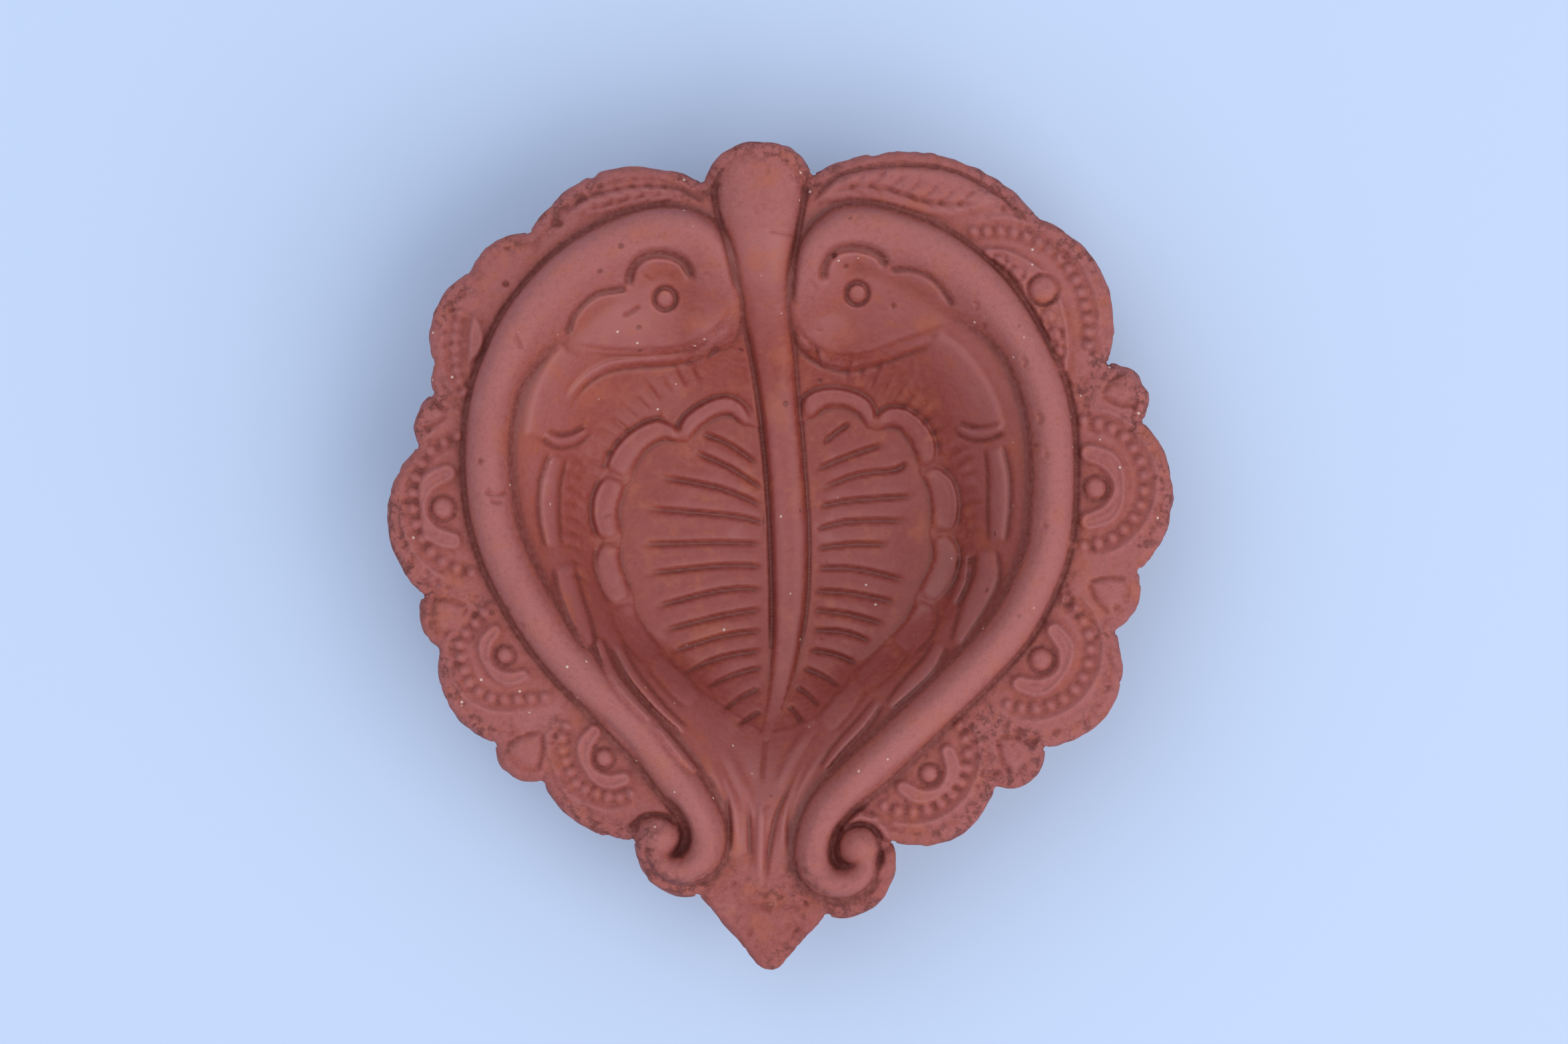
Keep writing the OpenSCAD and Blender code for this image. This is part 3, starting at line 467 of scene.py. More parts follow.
# Upper edge, lower edge and midline of each leaf
LEAVES = {
    "crown_leaf_right": (
        [(4.6, 41.0), (6.2, 42.8), (8.1, 44.3), (10.8, 44.9), (16.0, 45.3), (20.4, 44.8),
         (22.6, 44.0), (25.7, 42.2), (27.6, 40.8)],
        [(4.6, 41.0), (7.2, 41.0), (10.0, 41.3), (13.0, 40.7), (16.0, 39.9), (19.5, 39.2),
         (23.0, 39.8), (25.7, 40.6), (27.6, 40.8)],
        [(6.8, 42.3), (10.3, 43.0), (13.8, 42.5), (16.9, 41.4), (20.4, 40.9), (24.0, 41.0)]),
    "crown_leaf_left": (
        [(-7.7, 40.9), (-10.0, 42.4), (-12.5, 42.9), (-15.7, 42.9), (-18.9, 42.3), (-21.6, 41.4),
         (-23.8, 39.7)],
        [(-7.7, 40.9), (-10.6, 41.0), (-13.3, 41.0), (-16.0, 40.5), (-18.9, 39.7), (-21.6, 39.4),
         (-23.8, 39.7)],
        [(-9.0, 41.1), (-12.0, 42.0), (-15.0, 41.8), (-18.0, 41.1), (-21.0, 40.3)]),
}


def crescent(x, y, facing, size, slim=1.0):
    """Spine of a crescent round a disc, with a thicker bulb at each end, as x, y and half width."""
    shape = [(3.95, 98, 1.25), (3.5, 64, 1.4), (3.1, 32, 1.2), (2.95, 0, 1.0), (3.1, -32, 1.2),
             (3.5, -64, 1.4), (3.95, -98, 1.25)]
    spine = []
    for r, turn, half in shape:
        a = math.radians(facing + turn)
        thin = 1 - (1 - slim) * math.cos(math.radians(turn)) ** 2
        spine.append((x + size * r * math.cos(a) * (0.6 + 0.4 * thin),
                      y + size * r * math.sin(a) * (0.6 + 0.4 * thin), size * half * thin))
    return spine


def bow(x, y, r, first, last):
    """Points of an arc, from the first to the last angle."""
    return [(x + r * math.cos(math.radians(a)), y + r * math.sin(math.radians(a)))
            for a in np.linspace(first, last, 9)]


# Medallions: disc as x, y, radius; spine of the bean shape; row of beads and how many of them
MEDALLIONS = {
    "medallion_1_right": dict(
        disc=(31.2, 31.0, 1.65), count=15,
        bean=[(24.9, 35.2, 0.8), (27.0, 34.6, 1.2), (29.2, 33.0, 1.6), (31.0, 30.9, 2.0),
              (32.2, 28.2, 1.8), (33.0, 25.2, 1.5), (33.4, 22.2, 0.9)],
        beads=[(23.2, 37.7), (27.2, 37.7), (30.7, 36.5), (33.3, 34.5), (35.2, 31.6), (36.2, 28.2),
               (36.4, 24.6)],
        lobes=[(26.2, 34.4, 0.75), (28.1, 32.9, 0.85), (31.8, 28.0, 0.9), (32.5, 25.9, 0.85),
               (32.9, 23.9, 0.75)]),
    "medallion_2_right": dict(disc=(37.2, 8.2, 1.3), bean=crescent(37.0, 8.3, 0, 1.0),
                              beads=bow(35.6, 8.8, 7.2, 88, -88), count=14),
    "medallion_3_right": dict(disc=(31.0, -11.5, 1.35), bean=crescent(30.9, -11.5, -33, 0.93),
                              beads=bow(29.7, -10.2, 6.9, 55, -112), count=13),
    "medallion_4_right": dict(disc=(18.1, -24.6, 1.05), bean=crescent(18.0, -24.5, -51, 0.84),
                              beads=bow(15.95, -22.4, 6.6, 30, -117), count=11),
    "medallion_1_left": dict(disc=None, count=8,
                             bean=[(-34.2, 28.2, 0.3), (-33.9, 26.2, 1.0), (-34.0, 24.4, 1.0),
                                   (-34.8, 22.6, 0.3)],
                             beads=[(-35.8, 28.2), (-36.2, 26.2), (-36.4, 24.6), (-36.3, 22.9),
                                    (-36.0, 21.0), (-35.2, 19.3)]),
    "medallion_2_left": dict(disc=(-37.7, 5.9, 1.3), bean=crescent(-37.5, 6.0, 185, 1.0, 0.62),
                             count=13,
                             beads=[(-36.0, 14.2), (-39.4, 12.3), (-40.9, 9.3), (-41.2, 6.0),
                                    (-40.3, 2.7), (-38.0, -0.2), (-34.4, -1.5)]),
    "medallion_3_left": dict(disc=(-30.6, -11.0, 1.0), bean=crescent(-30.5, -11.0, 212, 0.78),
                             count=13,
                             beads=[(-33.0, -6.1), (-35.3, -8.8), (-35.9, -10.6), (-34.6, -14.3),
                                    (-33.0, -15.5), (-30.9, -16.1), (-26.1, -15.8)]),
    "medallion_4_left": dict(disc=(-19.2, -22.8, 1.05), bean=crescent(-19.0, -22.7, 212, 0.82),
                             count=11,
                             beads=[(-23.6, -19.2), (-24.1, -21.3), (-23.0, -24.8), (-21.8, -26.2),
                                    (-18.3, -27.4), (-16.2, -26.9)]),
}
BEAD_R = 0.74

# Tongues between the medallions: x and y of the inner point, and the direction they open in
MOTIFS = {
    "lobe_motif_1_right": (37.9, 18.9, 12), "lobe_motif_2_right": (36.4, -2.6, -26),
    "lobe_motif_3_right": (26.0, -20.4, -42), "lobe_motif_1_left": (-37.2, 16.6, 174),
    "lobe_motif_2_left": (-34.9, -5.4, 200), "lobe_motif_3_left": (-26.4, -19.8, 232),
}


# ---------------------------------------------------------------- modelling the surface
# Widths, heights and depths are in drawn millimetres; ends are shares of a curve's length


class Clay:
    """Height of the upper surface at scattered points, and the element that owns each point."""

    def __init__(self, x, y):
        self.x, self.y = x, y
        self.z = ground(x, y)
        self.base = self.z.copy()
        angle = np.degrees(np.arctan2(y, x))
        beyond_rim = np.hypot(x, y) > rim_r(angle) + RIM_OUT
        border = np.where(x > MIDDLE_X, INDEX["border_right"], INDEX["border_left"])
        self.owner = np.where(beyond_rim, border, INDEX["bowl"])
        throat = polygon_distance(x, y, np.array(THROAT_FLOOR, float))
        tip = np.minimum(polygon_distance(x, y, np.array(SPOUT, float)), throat)
        self.owner[beyond_rim & (tip < 0.3)] = INDEX["spout_lip"]
        self.owner[(y < -46) & (np.abs(x) < 3)] = INDEX["spout_lip"]
        knob = (y > KNOB_FROM) & (x > KNOB_SPAN[0]) & (x < KNOB_SPAN[1])
        self.owner[beyond_rim & knob] = INDEX["stem_knob"]
        self.body = self.owner.copy()

    def in_box(self, low, high):
        return np.flatnonzero((self.x > low[0]) & (self.x < high[0])
                              & (self.y > low[1]) & (self.y < high[1]))

    def near_to(self, x, y, reach):
        """Points in a square around a place, and their distance from it."""
        near = np.flatnonzero((np.abs(self.x - x) < reach) & (np.abs(self.y - y) < reach))
        return near, np.hypot(self.x[near] - x, self.y[near] - y)

    def along(self, points, reach):
        """Points near a curve: which they are, their distance to its left, their share along it
        and the extra numbers that the curve carries there."""
        path = curve(points, 4)
        near = self.in_box(path[:, :2].min(0) - reach, path[:, :2].max(0) + reach)
        px, py = self.x[near], self.y[near]
        best = np.full(len(near), 1e9)
        side, share = np.ones(len(near)), np.zeros(len(near))
        for k in range(len(path) - 1):
            ax, ay = path[k, :2]
            ex, ey = path[k + 1, :2] - path[k, :2]
            t = np.clip(((px - ax) * ex + (py - ay) * ey) / (ex * ex + ey * ey), 0, 1)
            dx, dy = px - ax - t * ex, py - ay - t * ey
            d = dx * dx + dy * dy
            closer = d < best
            best = np.where(closer, d, best)
            side = np.where(closer, np.where(ex * dy - ey * dx < 0, -1, 1), side)
            share = np.where(closer, (k + t) / (len(path) - 1), share)
        d = np.sqrt(best)
        keep = d < reach
        at = share[keep] * (len(path) - 1)
        extra = [np.interp(at, np.arange(len(path)), path[:, c]) for c in range(2, path.shape[1])]
        return near[keep], (side * d)[keep], share[keep], extra

    def own(self, which, name):
        self.owner[which] = INDEX[name]

    def ridge(self, points, width, height, name=None, ends=0.15, foot=1.5):
        """Rounded ridge along a curve. foot sets how soft its section is."""
        i, d, s, _ = self.along(points, width / 2)
        section = (1 - np.abs(d / (width / 2)) ** 2.0) ** foot
        taper = smooth(np.minimum(s, 1 - s) / ends) if ends else 1.0
        self.z[i] += height * section * taper
        if name:
            self.own(i, name)

    def strip(self, points, height, name, end=0.12, rim=0.3):
        """Raised strip of changing half width. rim is the depth of a fine groove on each side."""
        i, d, s, (half,) = self.along(points, 2.2)
        u = np.abs(d) / half
        taper = smooth(np.minimum(s, 1 - s) / end)
        self.z[i] += taper * np.where(u < 1, height * (1 - np.minimum(u, 1) ** 2.4), 0)
        self.z[i] -= taper * rim * np.exp(-(((np.abs(d) - half - 0.25) / 0.28) ** 2))
        self.own(i[u < 1.05], name)

    def groove(self, points, width, depth, ends=0.15, foot=1.5):
        self.ridge(points, width, -depth, ends=ends, foot=foot)

    def step(self, points, height, fade, soft, ends=0.08):
        """Raises the left side of a curve: a crest on the curve that fades over that side."""
        i, d, s, _ = self.along(points, max(fade, soft))
        shape = np.where(d > 0, 1 - smooth(d / fade), smooth(1 + d / soft))
        self.z[i] += height * shape * smooth(np.minimum(s, 1 - s) / ends)

    def pillow(self, outline, height, edge, name):
        """Flat-topped swelling inside a closed outline, rounded over the width of its edge."""
        corners = np.array(outline, float)
        near = self.in_box(corners.min(0), corners.max(0))
        d = -polygon_distance(self.x[near], self.y[near], corners)
        near, d = near[d > 0], d[d > 0]
        self.z[near] += height * smooth(d / edge) ** 0.8
        self.own(near, name)

    def dome(self, x, y, radius, height, name=None, power=2.0):
        near, away = self.near_to(x, y, radius)
        u = away / radius
        near, u = near[u < 1], u[u < 1]
        self.z[near] += height * (1 - u**power)
        if name:
            self.own(near, name)

    def ring(self, x, y, radius, width, height):
        near, away = self.near_to(x, y, radius + width)
        u = (away - radius) / (width / 2)
        near, u = near[np.abs(u) < 1], u[np.abs(u) < 1]
        self.z[near] += height * (1 - u * u) ** 1.5


def at_angle(cx, cy, r, degrees):
    a = np.radians(degrees)
    return np.stack([cx + r * np.cos(a), cy + r * np.sin(a)], -1)


def leaf_blade(clay):
    """The two halves of the leaf, engraved with veins."""
    for name, band, veins in (("veins_left", BAND_LEFT, VEINS_LEFT),
                              ("veins_right", BAND_RIGHT, VEINS_RIGHT)):
        edge = np.vstack([curve(inner, 4) for _, inner in band])
        spine = np.array([p[:2] for p in MIDRIB if p[1] < 18])
        blade = np.vstack([edge, spine[::-1]])
        near = np.flatnonzero(inside_polygon(clay.x, clay.y, blade))
        clay.own(near, name)
        clay.z[near] -= 0.3
        for v in veins:
            clay.groove(v, 2.2, 0.20, ends=0.12, foot=2.0)
            clay.groove(v, 0.75, 0.55, ends=0.28, foot=1.2)
            clay.ridge([(x, y + 0.6) for x, y in v], 0.8, 0.16, ends=0.3)
            clay.ridge([(x, y + 1.1) for x, y in v], 1.3, 0.10, ends=0.3)


def feather_bands(clay):
    """Each segment is a convex pad between its outer and inner edge, with rounded ends."""
    share = np.linspace(0, 1, 11)
    for name, band in (("feather_band_left", BAND_LEFT), ("feather_band_right", BAND_RIGHT)):
        for k, (outer, inner) in enumerate(band):
            sides = []
            for side in (curve(outer), curve(inner)):
                at = share * (len(side) - 1)
                sides.append(np.stack([np.interp(at, np.arange(len(side)), side[:, c])
                                       for c in (0, 1)], 1))
            half = np.hypot(*(sides[0] - sides[1]).T) / 2
            half = half * (1 - 0.45 * np.abs(2 * share - 1) ** 4) + 0.1
            middle = (sides[0] + sides[1]) / 2
            # The segments run into each other, a little over their drawn ends
            middle[0] -= 0.5 * unit(middle[1] - middle[0])
            middle[-1] += 0.5 * unit(middle[-1] - middle[-2])
            fade = 1.0 if k < len(band) - 2 else 0.6
            clay.strip(np.column_stack([middle, half]), 0.62 * fade, name, end=0.10, rim=0.07)
            clay.groove(sides[0] + 0.3 * unit(sides[0] - middle), 0.9, 0.24 * fade, ends=0.15)
            if k < 3:
                clay.ridge(0.8 * sides[0] + 0.2 * middle, 0.8, 0.2, ends=0.15)


def wing(clay):
    """Short barbs that fan out from the band, and the longer feathers outside them."""
    fans = (("wing_barbs_right", 4.0, 4.0, 18, 72, 12, 17.2, 20.4),
            ("wing_barbs_left", -3.0, 4.0, 106, 160, 11, 17.2, 20.2))
    for name, cx, cy, first, last, count, r_in, r_out in fans:
        for k, a in enumerate(np.linspace(first, last, count)):
            reach = r_out + (0.8 if k % 2 else 0.0)
            middle = (r_in + reach) / 2
            p = [at_angle(cx, cy, r, a + t) for r, t in ((r_in, 0), (middle, 1.2), (reach, 1.6))]
            clay.ridge(p, 1.5, 0.12, name, ends=0.4)
            q = [at_angle(cx, cy, r, a + 3.0) for r in (r_in, middle, reach)]
            clay.groove(q, 0.8, (0.26 if cx > 0 else 0.17) + 0.07 * math.sin(2.3 * k), ends=0.45)
    # Barbs between the long feathers and the band
    for turn in (1, -1):
        for y in np.arange(11.6, -3.0, -1.7):
            inner = 21.9 - 0.012 * (y - 5) ** 2
            lean = 0.5 * math.sin(2.1 * y + turn)
            p = [(turn * inner, y - 0.6), (turn * (inner + 1.3), y),
                 (turn * (inner + 2.4 + lean), y + 0.2)]
            clay.groove(p, 0.75, 0.24, ends=0.4)
            clay.ridge([(a, b + 0.8) for a, b in p], 1.0, 0.12, ends=0.4)
    for name, runs in (("outer_feathers_right", OUTER_RIGHT), ("outer_feathers_left", OUTER_LEFT)):
        for run in runs:
            clay.strip(run, 0.7, name)


def throat(clay):
    for name, runs in THROAT_RIDGES.items():
        for run in runs:
            clay.ridge(run, 1.7, 0.45, name, ends=0.3)
    clay.ridge(THROAT_RIDGE, 1.5, 0.5, "throat_ridge", ends=0.3)
    for run in THROAT_GROOVES:
        clay.groove(run, 0.9, 0.4, ends=0.3)


def midrib_and_knob(clay):
    i, d, s, (half, height) = clay.along(MIDRIB, 7.0)
    keep = np.abs(d) < half
    i, u, s, height = i[keep], (np.abs(d) / half)[keep], s[keep], height[keep]
    end = smooth((51.0 - clay.y[i]) / 4.0) * smooth((1 - s) / 0.12)
    clay.z[i] = np.maximum(clay.z[i], clay.base[i] + height * (1 - u**2.8) ** 0.9 * end)
    clay.own(i, "midrib")
    clay.own(i[clay.y[i] > 38], "stem_knob")
    for run in KNOB_GROOVES:
        clay.groove(run, 0.9, 0.42, ends=0.12)
    floor_part = [p for p in MIDRIB if p[1] < 30][:-2]
    clay.groove([(x - h - 0.05, y) for x, y, h, _ in floor_part], 1.1, 0.55, ends=0.1)
    clay.groove([(x + h + 0.05, y) for x, y, h, _ in floor_part], 0.9, 0.30, ends=0.1)


def necks(clay):
    for name, path, groove in (("neck_right", NECK_RIGHT, GROOVE_RIGHT),
                               ("neck_left", NECK_LEFT, GROOVE_LEFT)):
        outward = 1 if name.endswith("right") else -1
        last = len(path) - 1
        i, d, s, _ = clay.along(path, 8.0)
        at = s * last
        slim = (0.76 + 0.24 * smooth(at / 4)) * (1 - 0.35 * smooth((at - last + 5) / 5))
        outer = 2.7 * slim
        slender, full = (2.0, 0.6) if outward > 0 else (2.2, 0.7)
        inner = (slender + full * smooth((last - 4 - at) / 5)) * slim + 3.2 * smooth((11 - at) / 3)
        u = np.where(d * outward > 0, np.abs(d) / outer, np.abs(d) / inner)
        keep = u < 1
        i, at, u, d = i[keep], at[keep], u[keep], d[keep]
        over_head = smooth((12 - at) / 4)
        section = np.where(d * outward > 0, (1 - u**2.6) ** 0.85,
                           (1 - u**2.3) ** (1.15 + 1.2 * over_head))
        head_end = 0.42 + 0.58 * smooth(at / 4.5)
        tail_end = 1 - 0.35 * smooth((at - last + 3) / 3)
        clay.z[i] += NECK_H * head_end * tail_end * section
        clay.own(i, name)
        clay.own(i[at > SCROLL_FROM - 0.5], name.replace("neck", "scroll"))
        # The outer foot of the neck is undercut a little, so a fine dark line runs along it
        clay.groove(groove, 1.1, 0.42, ends=0.03)
    clay.ridge(BALL_SHELL, 1.7, 0.9, "scroll_right", ends=0.15)
    for name, (x, y, r) in BALLS.items():
        near = np.flatnonzero(np.hypot(clay.x - x, clay.y - y) < r)
        u = np.hypot(clay.x[near] - x, clay.y[near] - y) / r
        dome = clay.base[near] + NECK_H * (0.12 + 0.72 * (1 - u**2.4))
        clay.z[near] = np.maximum(clay.z[near], dome)
        clay.own(near, name)
    for run, width, depth in zip(SPIRALS, (1.25, 1.6), (1.15, 1.3)):
        clay.groove(run, width, depth, ends=0.25, foot=1.2)
    for run in BALL_GROOVES:
        clay.groove(run, 0.9, 0.6, ends=0.15)


def heads(clay):
    for name, crown, crest, jaw, under, shoulder in (
        ("head_right", CROWN_RIGHT, CREST_RIGHT, JAW_RIGHT, UNDER_JAW_RIGHT, SHOULDER_RIGHT),
        ("head_left", CROWN_LEFT, CREST_LEFT, JAW_LEFT, UNDER_JAW_LEFT, SHOULDER_LEFT),
    ):
        outline = np.vstack([curve(crown), curve(crest), curve(jaw)[::-1]])
        clay.own(np.flatnonzero(inside_polygon(clay.x, clay.y, outline)), name)
        clay.step(jaw if name.endswith("right") else jaw[::-1], 1.0, 6.0, 0.7, ends=0.35)
        clay.groove(crown, 1.5, 0.95, ends=0.12, foot=1.2)
        clay.groove(crest, 1.1, 0.6, ends=0.10, foot=1.2)
        clay.groove(jaw, 0.8, 0.42, ends=0.22)
        clay.ridge(under, 1.2, 0.5, ends=0.12)
        clay.groove([(x, y - 0.9) for x, y in under], 0.8, 0.3, ends=0.2)
        clay.step(shoulder, 0.45, 4.0, 1.1)
    for name, (x, y) in EYES.items():
        clay.ring(x, y, EYE_R, 0.8, -0.6)
        clay.dome(x, y, EYE_R - 0.2, 0.25, power=3.0)
        clay.own(np.flatnonzero(np.hypot(clay.x - x, clay.y - y) < EYE_R + 0.1), name)


def crown_leaves(clay):
    for name, (upper, lower, middle) in LEAVES.items():
        outward = 1 if name.endswith("right") else -1
        clay.pillow(np.vstack([curve(upper), curve(lower)[::-1]]), 0.42, 0.7, name)
        clay.groove(upper, 0.7, 0.28, ends=0.05)
        clay.groove(middle, 0.8, 0.32, ends=0.1)
        spine = curve(middle, 5)
        for k in range(3, len(spine) - 2, 3):
            x, y = spine[k]
            # Slanted side veins, steeper on the outer half of the leaf
            for up, dx in ((1.7, 2.2), (-1.1, 2.0)):
                run = [(x, y), (x + outward * 0.5 * dx, y + 0.35 * up),
                       (x + outward * dx, y + up)]
                clay.groove(run, 0.7, 0.26, ends=0.3)


def medallions(clay):
    for name, m in MEDALLIONS.items():
        # The row of beads lies in a shallow channel inside a raised arched edge
        row = curve(m["beads"], 8)
        clay.groove(m["beads"], 2.6, 0.40, ends=0.06)
        outward = row + 1.55 * unit(np.gradient(row, axis=0)) @ np.array([[0, -1], [1, 0]])
        middle = len(row) // 2
        if np.hypot(*outward[middle]) < np.hypot(*row[middle]):
            outward = 2 * row - outward
        clay.ridge(outward[3:-3:4], 0.9, 0.26, ends=0.06)
        i, d, _, (half,) = clay.along(m["bean"], 2.4)
        depth = half - np.abs(d)
        i, depth = i[depth > 0], depth[depth > 0]
        clay.z[i] += 0.66 * smooth(depth / 0.5) - 0.24 * np.exp(-(((depth - 1.0) / 0.25) ** 2))
        clay.own(i, name)
        length = np.concatenate([[0], np.cumsum(np.hypot(*np.diff(row, axis=0).T))])
        for at in np.linspace(0, length[-1], m["count"]):
            x, y = (float(np.interp(at, length, row[:, c])) for c in (0, 1))
            clay.dome(x, y, BEAD_R, 0.62, name, power=2.3)
        for x, y, r in m.get("lobes", []):
            clay.ring(x, y, r, 0.7, -0.3)
            clay.dome(x, y, r, 0.2)
        if m["disc"] is None:
            continue
        x, y, r = m["disc"]
        near = np.flatnonzero(np.hypot(clay.x - x, clay.y - y) < r + 0.6)
        away = np.hypot(clay.x[near] - x, clay.y[near] - y) - r
        flat = np.minimum(clay.z[near], clay.base[near])
        clay.z[near] = flat + (clay.z[near] - flat) * smooth((away - 0.05) / 0.45)
        clay.dome(x, y, r, 0.62, power=3.0)
        clay.ring(x, y, r + 0.15, 0.6, -0.25)
        clay.own(near[away < 0.3], name)


def motifs(clay):
    for name, (x, y, facing) in MOTIFS.items():
        arms = [at_angle(x, y, 4.4, facing + turn) for turn in (30, -30)]
        bulge = [at_angle(x, y, 2.3, facing + turn) for turn in (40, -40)]
        tongue = [(x, y), bulge[1], arms[1], at_angle(x, y, 4.6, facing), arms[0], bulge[0]]
        clay.pillow(tongue, 0.28, 1.0, name)
        for arm, bow in zip(arms, bulge):
            clay.groove([(x, y), bow, arm], 0.7, 0.32, ends=0.12)


# Cracks, gouges and lost crumbs: points, width, depth
DAMAGE = [
    ([(-0.4, 37.7), (1.0, 37.5), (2.7, 37.1)], 0.55, 0.30),
    ([(-32.9, 8.0), (-31.6, 7.4), (-30.2, 7.9)], 0.9, 0.60),
    ([(-32.2, 6.8), (-30.8, 6.6)], 0.9, 0.60), ([(-33.5, 11.6), (-33.1, 11.0)], 0.8, 0.50),
    ([(-30.5, -5.4), (-29.9, -5.9)], 0.7, 0.40),
    ([(-28.9, -7.2), (-28.3, -7.8)], 0.8, 0.45),
    ([(28.5, 23.3), (29.1, 22.6), (28.8, 22.0)], 0.6, 0.45),
    ([(30.4, 16.9), (30.9, 16.2), (30.5, 15.4)], 0.6, 0.50),
    ([(30.1, 13.3), (30.7, 12.9)], 0.8, 0.50),
    ([(23.0, 29.7), (23.6, 29.2), (23.4, 28.5)], 0.5, 0.35),
    ([(24.2, 27.2), (24.7, 26.4)], 0.5, 0.35),
    ([(-29.4, 26.0), (-29.0, 25.0), (-28.4, 24.0)], 0.6, 0.35),
    ([(-17.2, 28.0), (-16.2, 28.5), (-15.1, 29.3)], 0.6, 0.35),
    ([(-25.3, 38.5), (-24.6, 38.7), (-24.0, 38.4)], 1.3, 0.7),
    ([(7.0, 34.9), (7.4, 34.8)], 0.9, 0.5), ([(8.3, 33.8), (8.7, 33.6)], 0.8, 0.45),
    ([(13.8, 29.4), (14.3, 29.1)], 0.8, 0.4), ([(-30.8, 31.8), (-30.2, 31.5)], 0.9, 0.5),
    ([(31.0, 4.2), (31.6, 3.6)], 0.8, 0.4), ([(31.6, 12.4), (31.3, 11.6)], 0.7, 0.4),
    ([(-1.2, 6.2), (-1.0, 4.0), (-1.2, 2.2)], 0.5, 0.25),
]


PITS, CHIPS = 420, 220
SMOOTH_INSIDE = 0.7  # share of the pits that the smooth bowl doesn't have


def wear(clay, rng):
    """Slow swells from hand pressing, grain, pits, and crumbs along the edge of the border.
    Returns the distance to that edge."""
    x, y = clay.x, clay.y
    to_edge = -outline_distance(x, y)
    inside = clay.body == INDEX["bowl"]
    calm = np.where(inside, 0.6, 1.0)
    clay.z += calm * (0.11 * noise(x, y, 7.0, 3) + 0.05 * noise(x, y, 2.3, 4))
    clay.z += np.where(inside, 0.008, 0.026) * noise(x, y, 0.8, 5)
    rough = smooth(1 - (to_edge - EDGE) / 1.2) * smooth(noise(x, y, 3.5, 6) * 1.4 + 0.3)
    clay.z += rough * (0.16 * noise(x, y, 0.7, 7) - 0.12)
    # The edge is worn down, most of all beside the knob
    on_knob = (y > 43) & (np.abs(x - MIDDLE_X) < 5.8)
    lowered = np.where(on_knob, 0.12, 0.15 + 0.4 * smooth((y - 34) / 6))
    clay.z -= lowered * smooth(1 - (to_edge - EDGE) / 1.7)
    for points, width, depth in DAMAGE:
        clay.groove(points, width, depth, ends=0.2)
    for k in rng.integers(0, len(x), PITS):
        if inside[k] and rng.random() < SMOOTH_INSIDE:
            continue
        turn, long = rng.uniform(0, math.pi), rng.uniform(0.05, 0.5)
        dx, dy = long * math.cos(turn), long * math.sin(turn)
        clay.groove([(x[k] - dx, y[k] - dy), (x[k] + dx, y[k] + dy)], rng.uniform(0.35, 0.8),
                    rng.uniform(0.05, 0.2), ends=0)
    near_edge = np.flatnonzero((to_edge < 2.4) & ~inside)
    clay.dome(34.5, 1.8, 0.65, 0.5)  # a crumb of clay stuck in the valley beside the neck
    for k in rng.choice(near_edge, CHIPS, replace=False):
        clay.dome(x[k], y[k], rng.uniform(0.25, 0.6), rng.choice([-0.28, 0.16]))
    return to_edge


def model(x, y):
    clay = Clay(x, y)
    leaf_blade(clay)
    feather_bands(clay)
    wing(clay)
    throat(clay)
    necks(clay)
    heads(clay)
    crown_leaves(clay)
    medallions(clay)
    motifs(clay)
    midrib_and_knob(clay)
    to_edge = wear(clay, np.random.default_rng(11))
    # Only the body itself reaches the outer edge
    rim = to_edge < EDGE + 0.5
    clay.owner[rim] = clay.body[rim]
    clay.z = np.maximum(clay.z, clay.base - SEAT + 0.15)
    return clay, to_edge


# ---------------------------------------------------------------- triangulation


def triangulate(points, edges, kind):
    """Delaunay triangles on the points themselves, all anticlockwise."""
    _, _, faces, origin, _, _ = delaunay_2d_cdt(
        [(float(a), float(b)) for a, b in points], [tuple(map(int, e)) for e in edges], [],
        kind, 1e-7)
    back = np.array([o[0] if o else -1 for o in origin])
    tris = back[np.array([f for f in faces if len(f) == 3], int)]
    tris = tris[(tris >= 0).all(1)]
    p = points[tris]
    area = ((p[:, 1, 0] - p[:, 0, 0]) * (p[:, 2, 1] - p[:, 0, 1])
            - (p[:, 1, 1] - p[:, 0, 1]) * (p[:, 2, 0] - p[:, 0, 0]))
    tris[area < 0] = tris[area < 0][:, ::-1]
    return tris[np.abs(area) > 1e-9]


def boundary(tris, count):
    """Directed edges that only one triangle has, with the triangle that has each."""
    a = tris.ravel()
    b = tris[:, [1, 2, 0]].ravel()
    key, reverse = a.astype(np.int64) * count + b, b.astype(np.int64) * count + a
    alone = ~np.isin(key, reverse)
    return a[alone], b[alone], np.repeat(np.arange(len(tris)), 3)[alone]


def unit(v):
    return v / np.maximum(np.linalg.norm(v, axis=-1, keepdims=True), 1e-12)


def vertex_normals(verts, tris):
    p = verts[tris]
    n = np.cross(p[:, 1] - p[:, 0], p[:, 2] - p[:, 0])
    out = np.zeros_like(verts)
    for c in range(3):
        np.add.at(out, tris[:, c], n)
    return unit(out)


def under_normals(x, y):
    e = 0.1
    gx = (underside(x + e, y) - underside(x - e, y)) / (2 * e)
    gy = (underside(x, y + e) - underside(x, y - e)) / (2 * e)
    return unit(np.stack([gx, gy, -np.ones_like(gx)], -1))


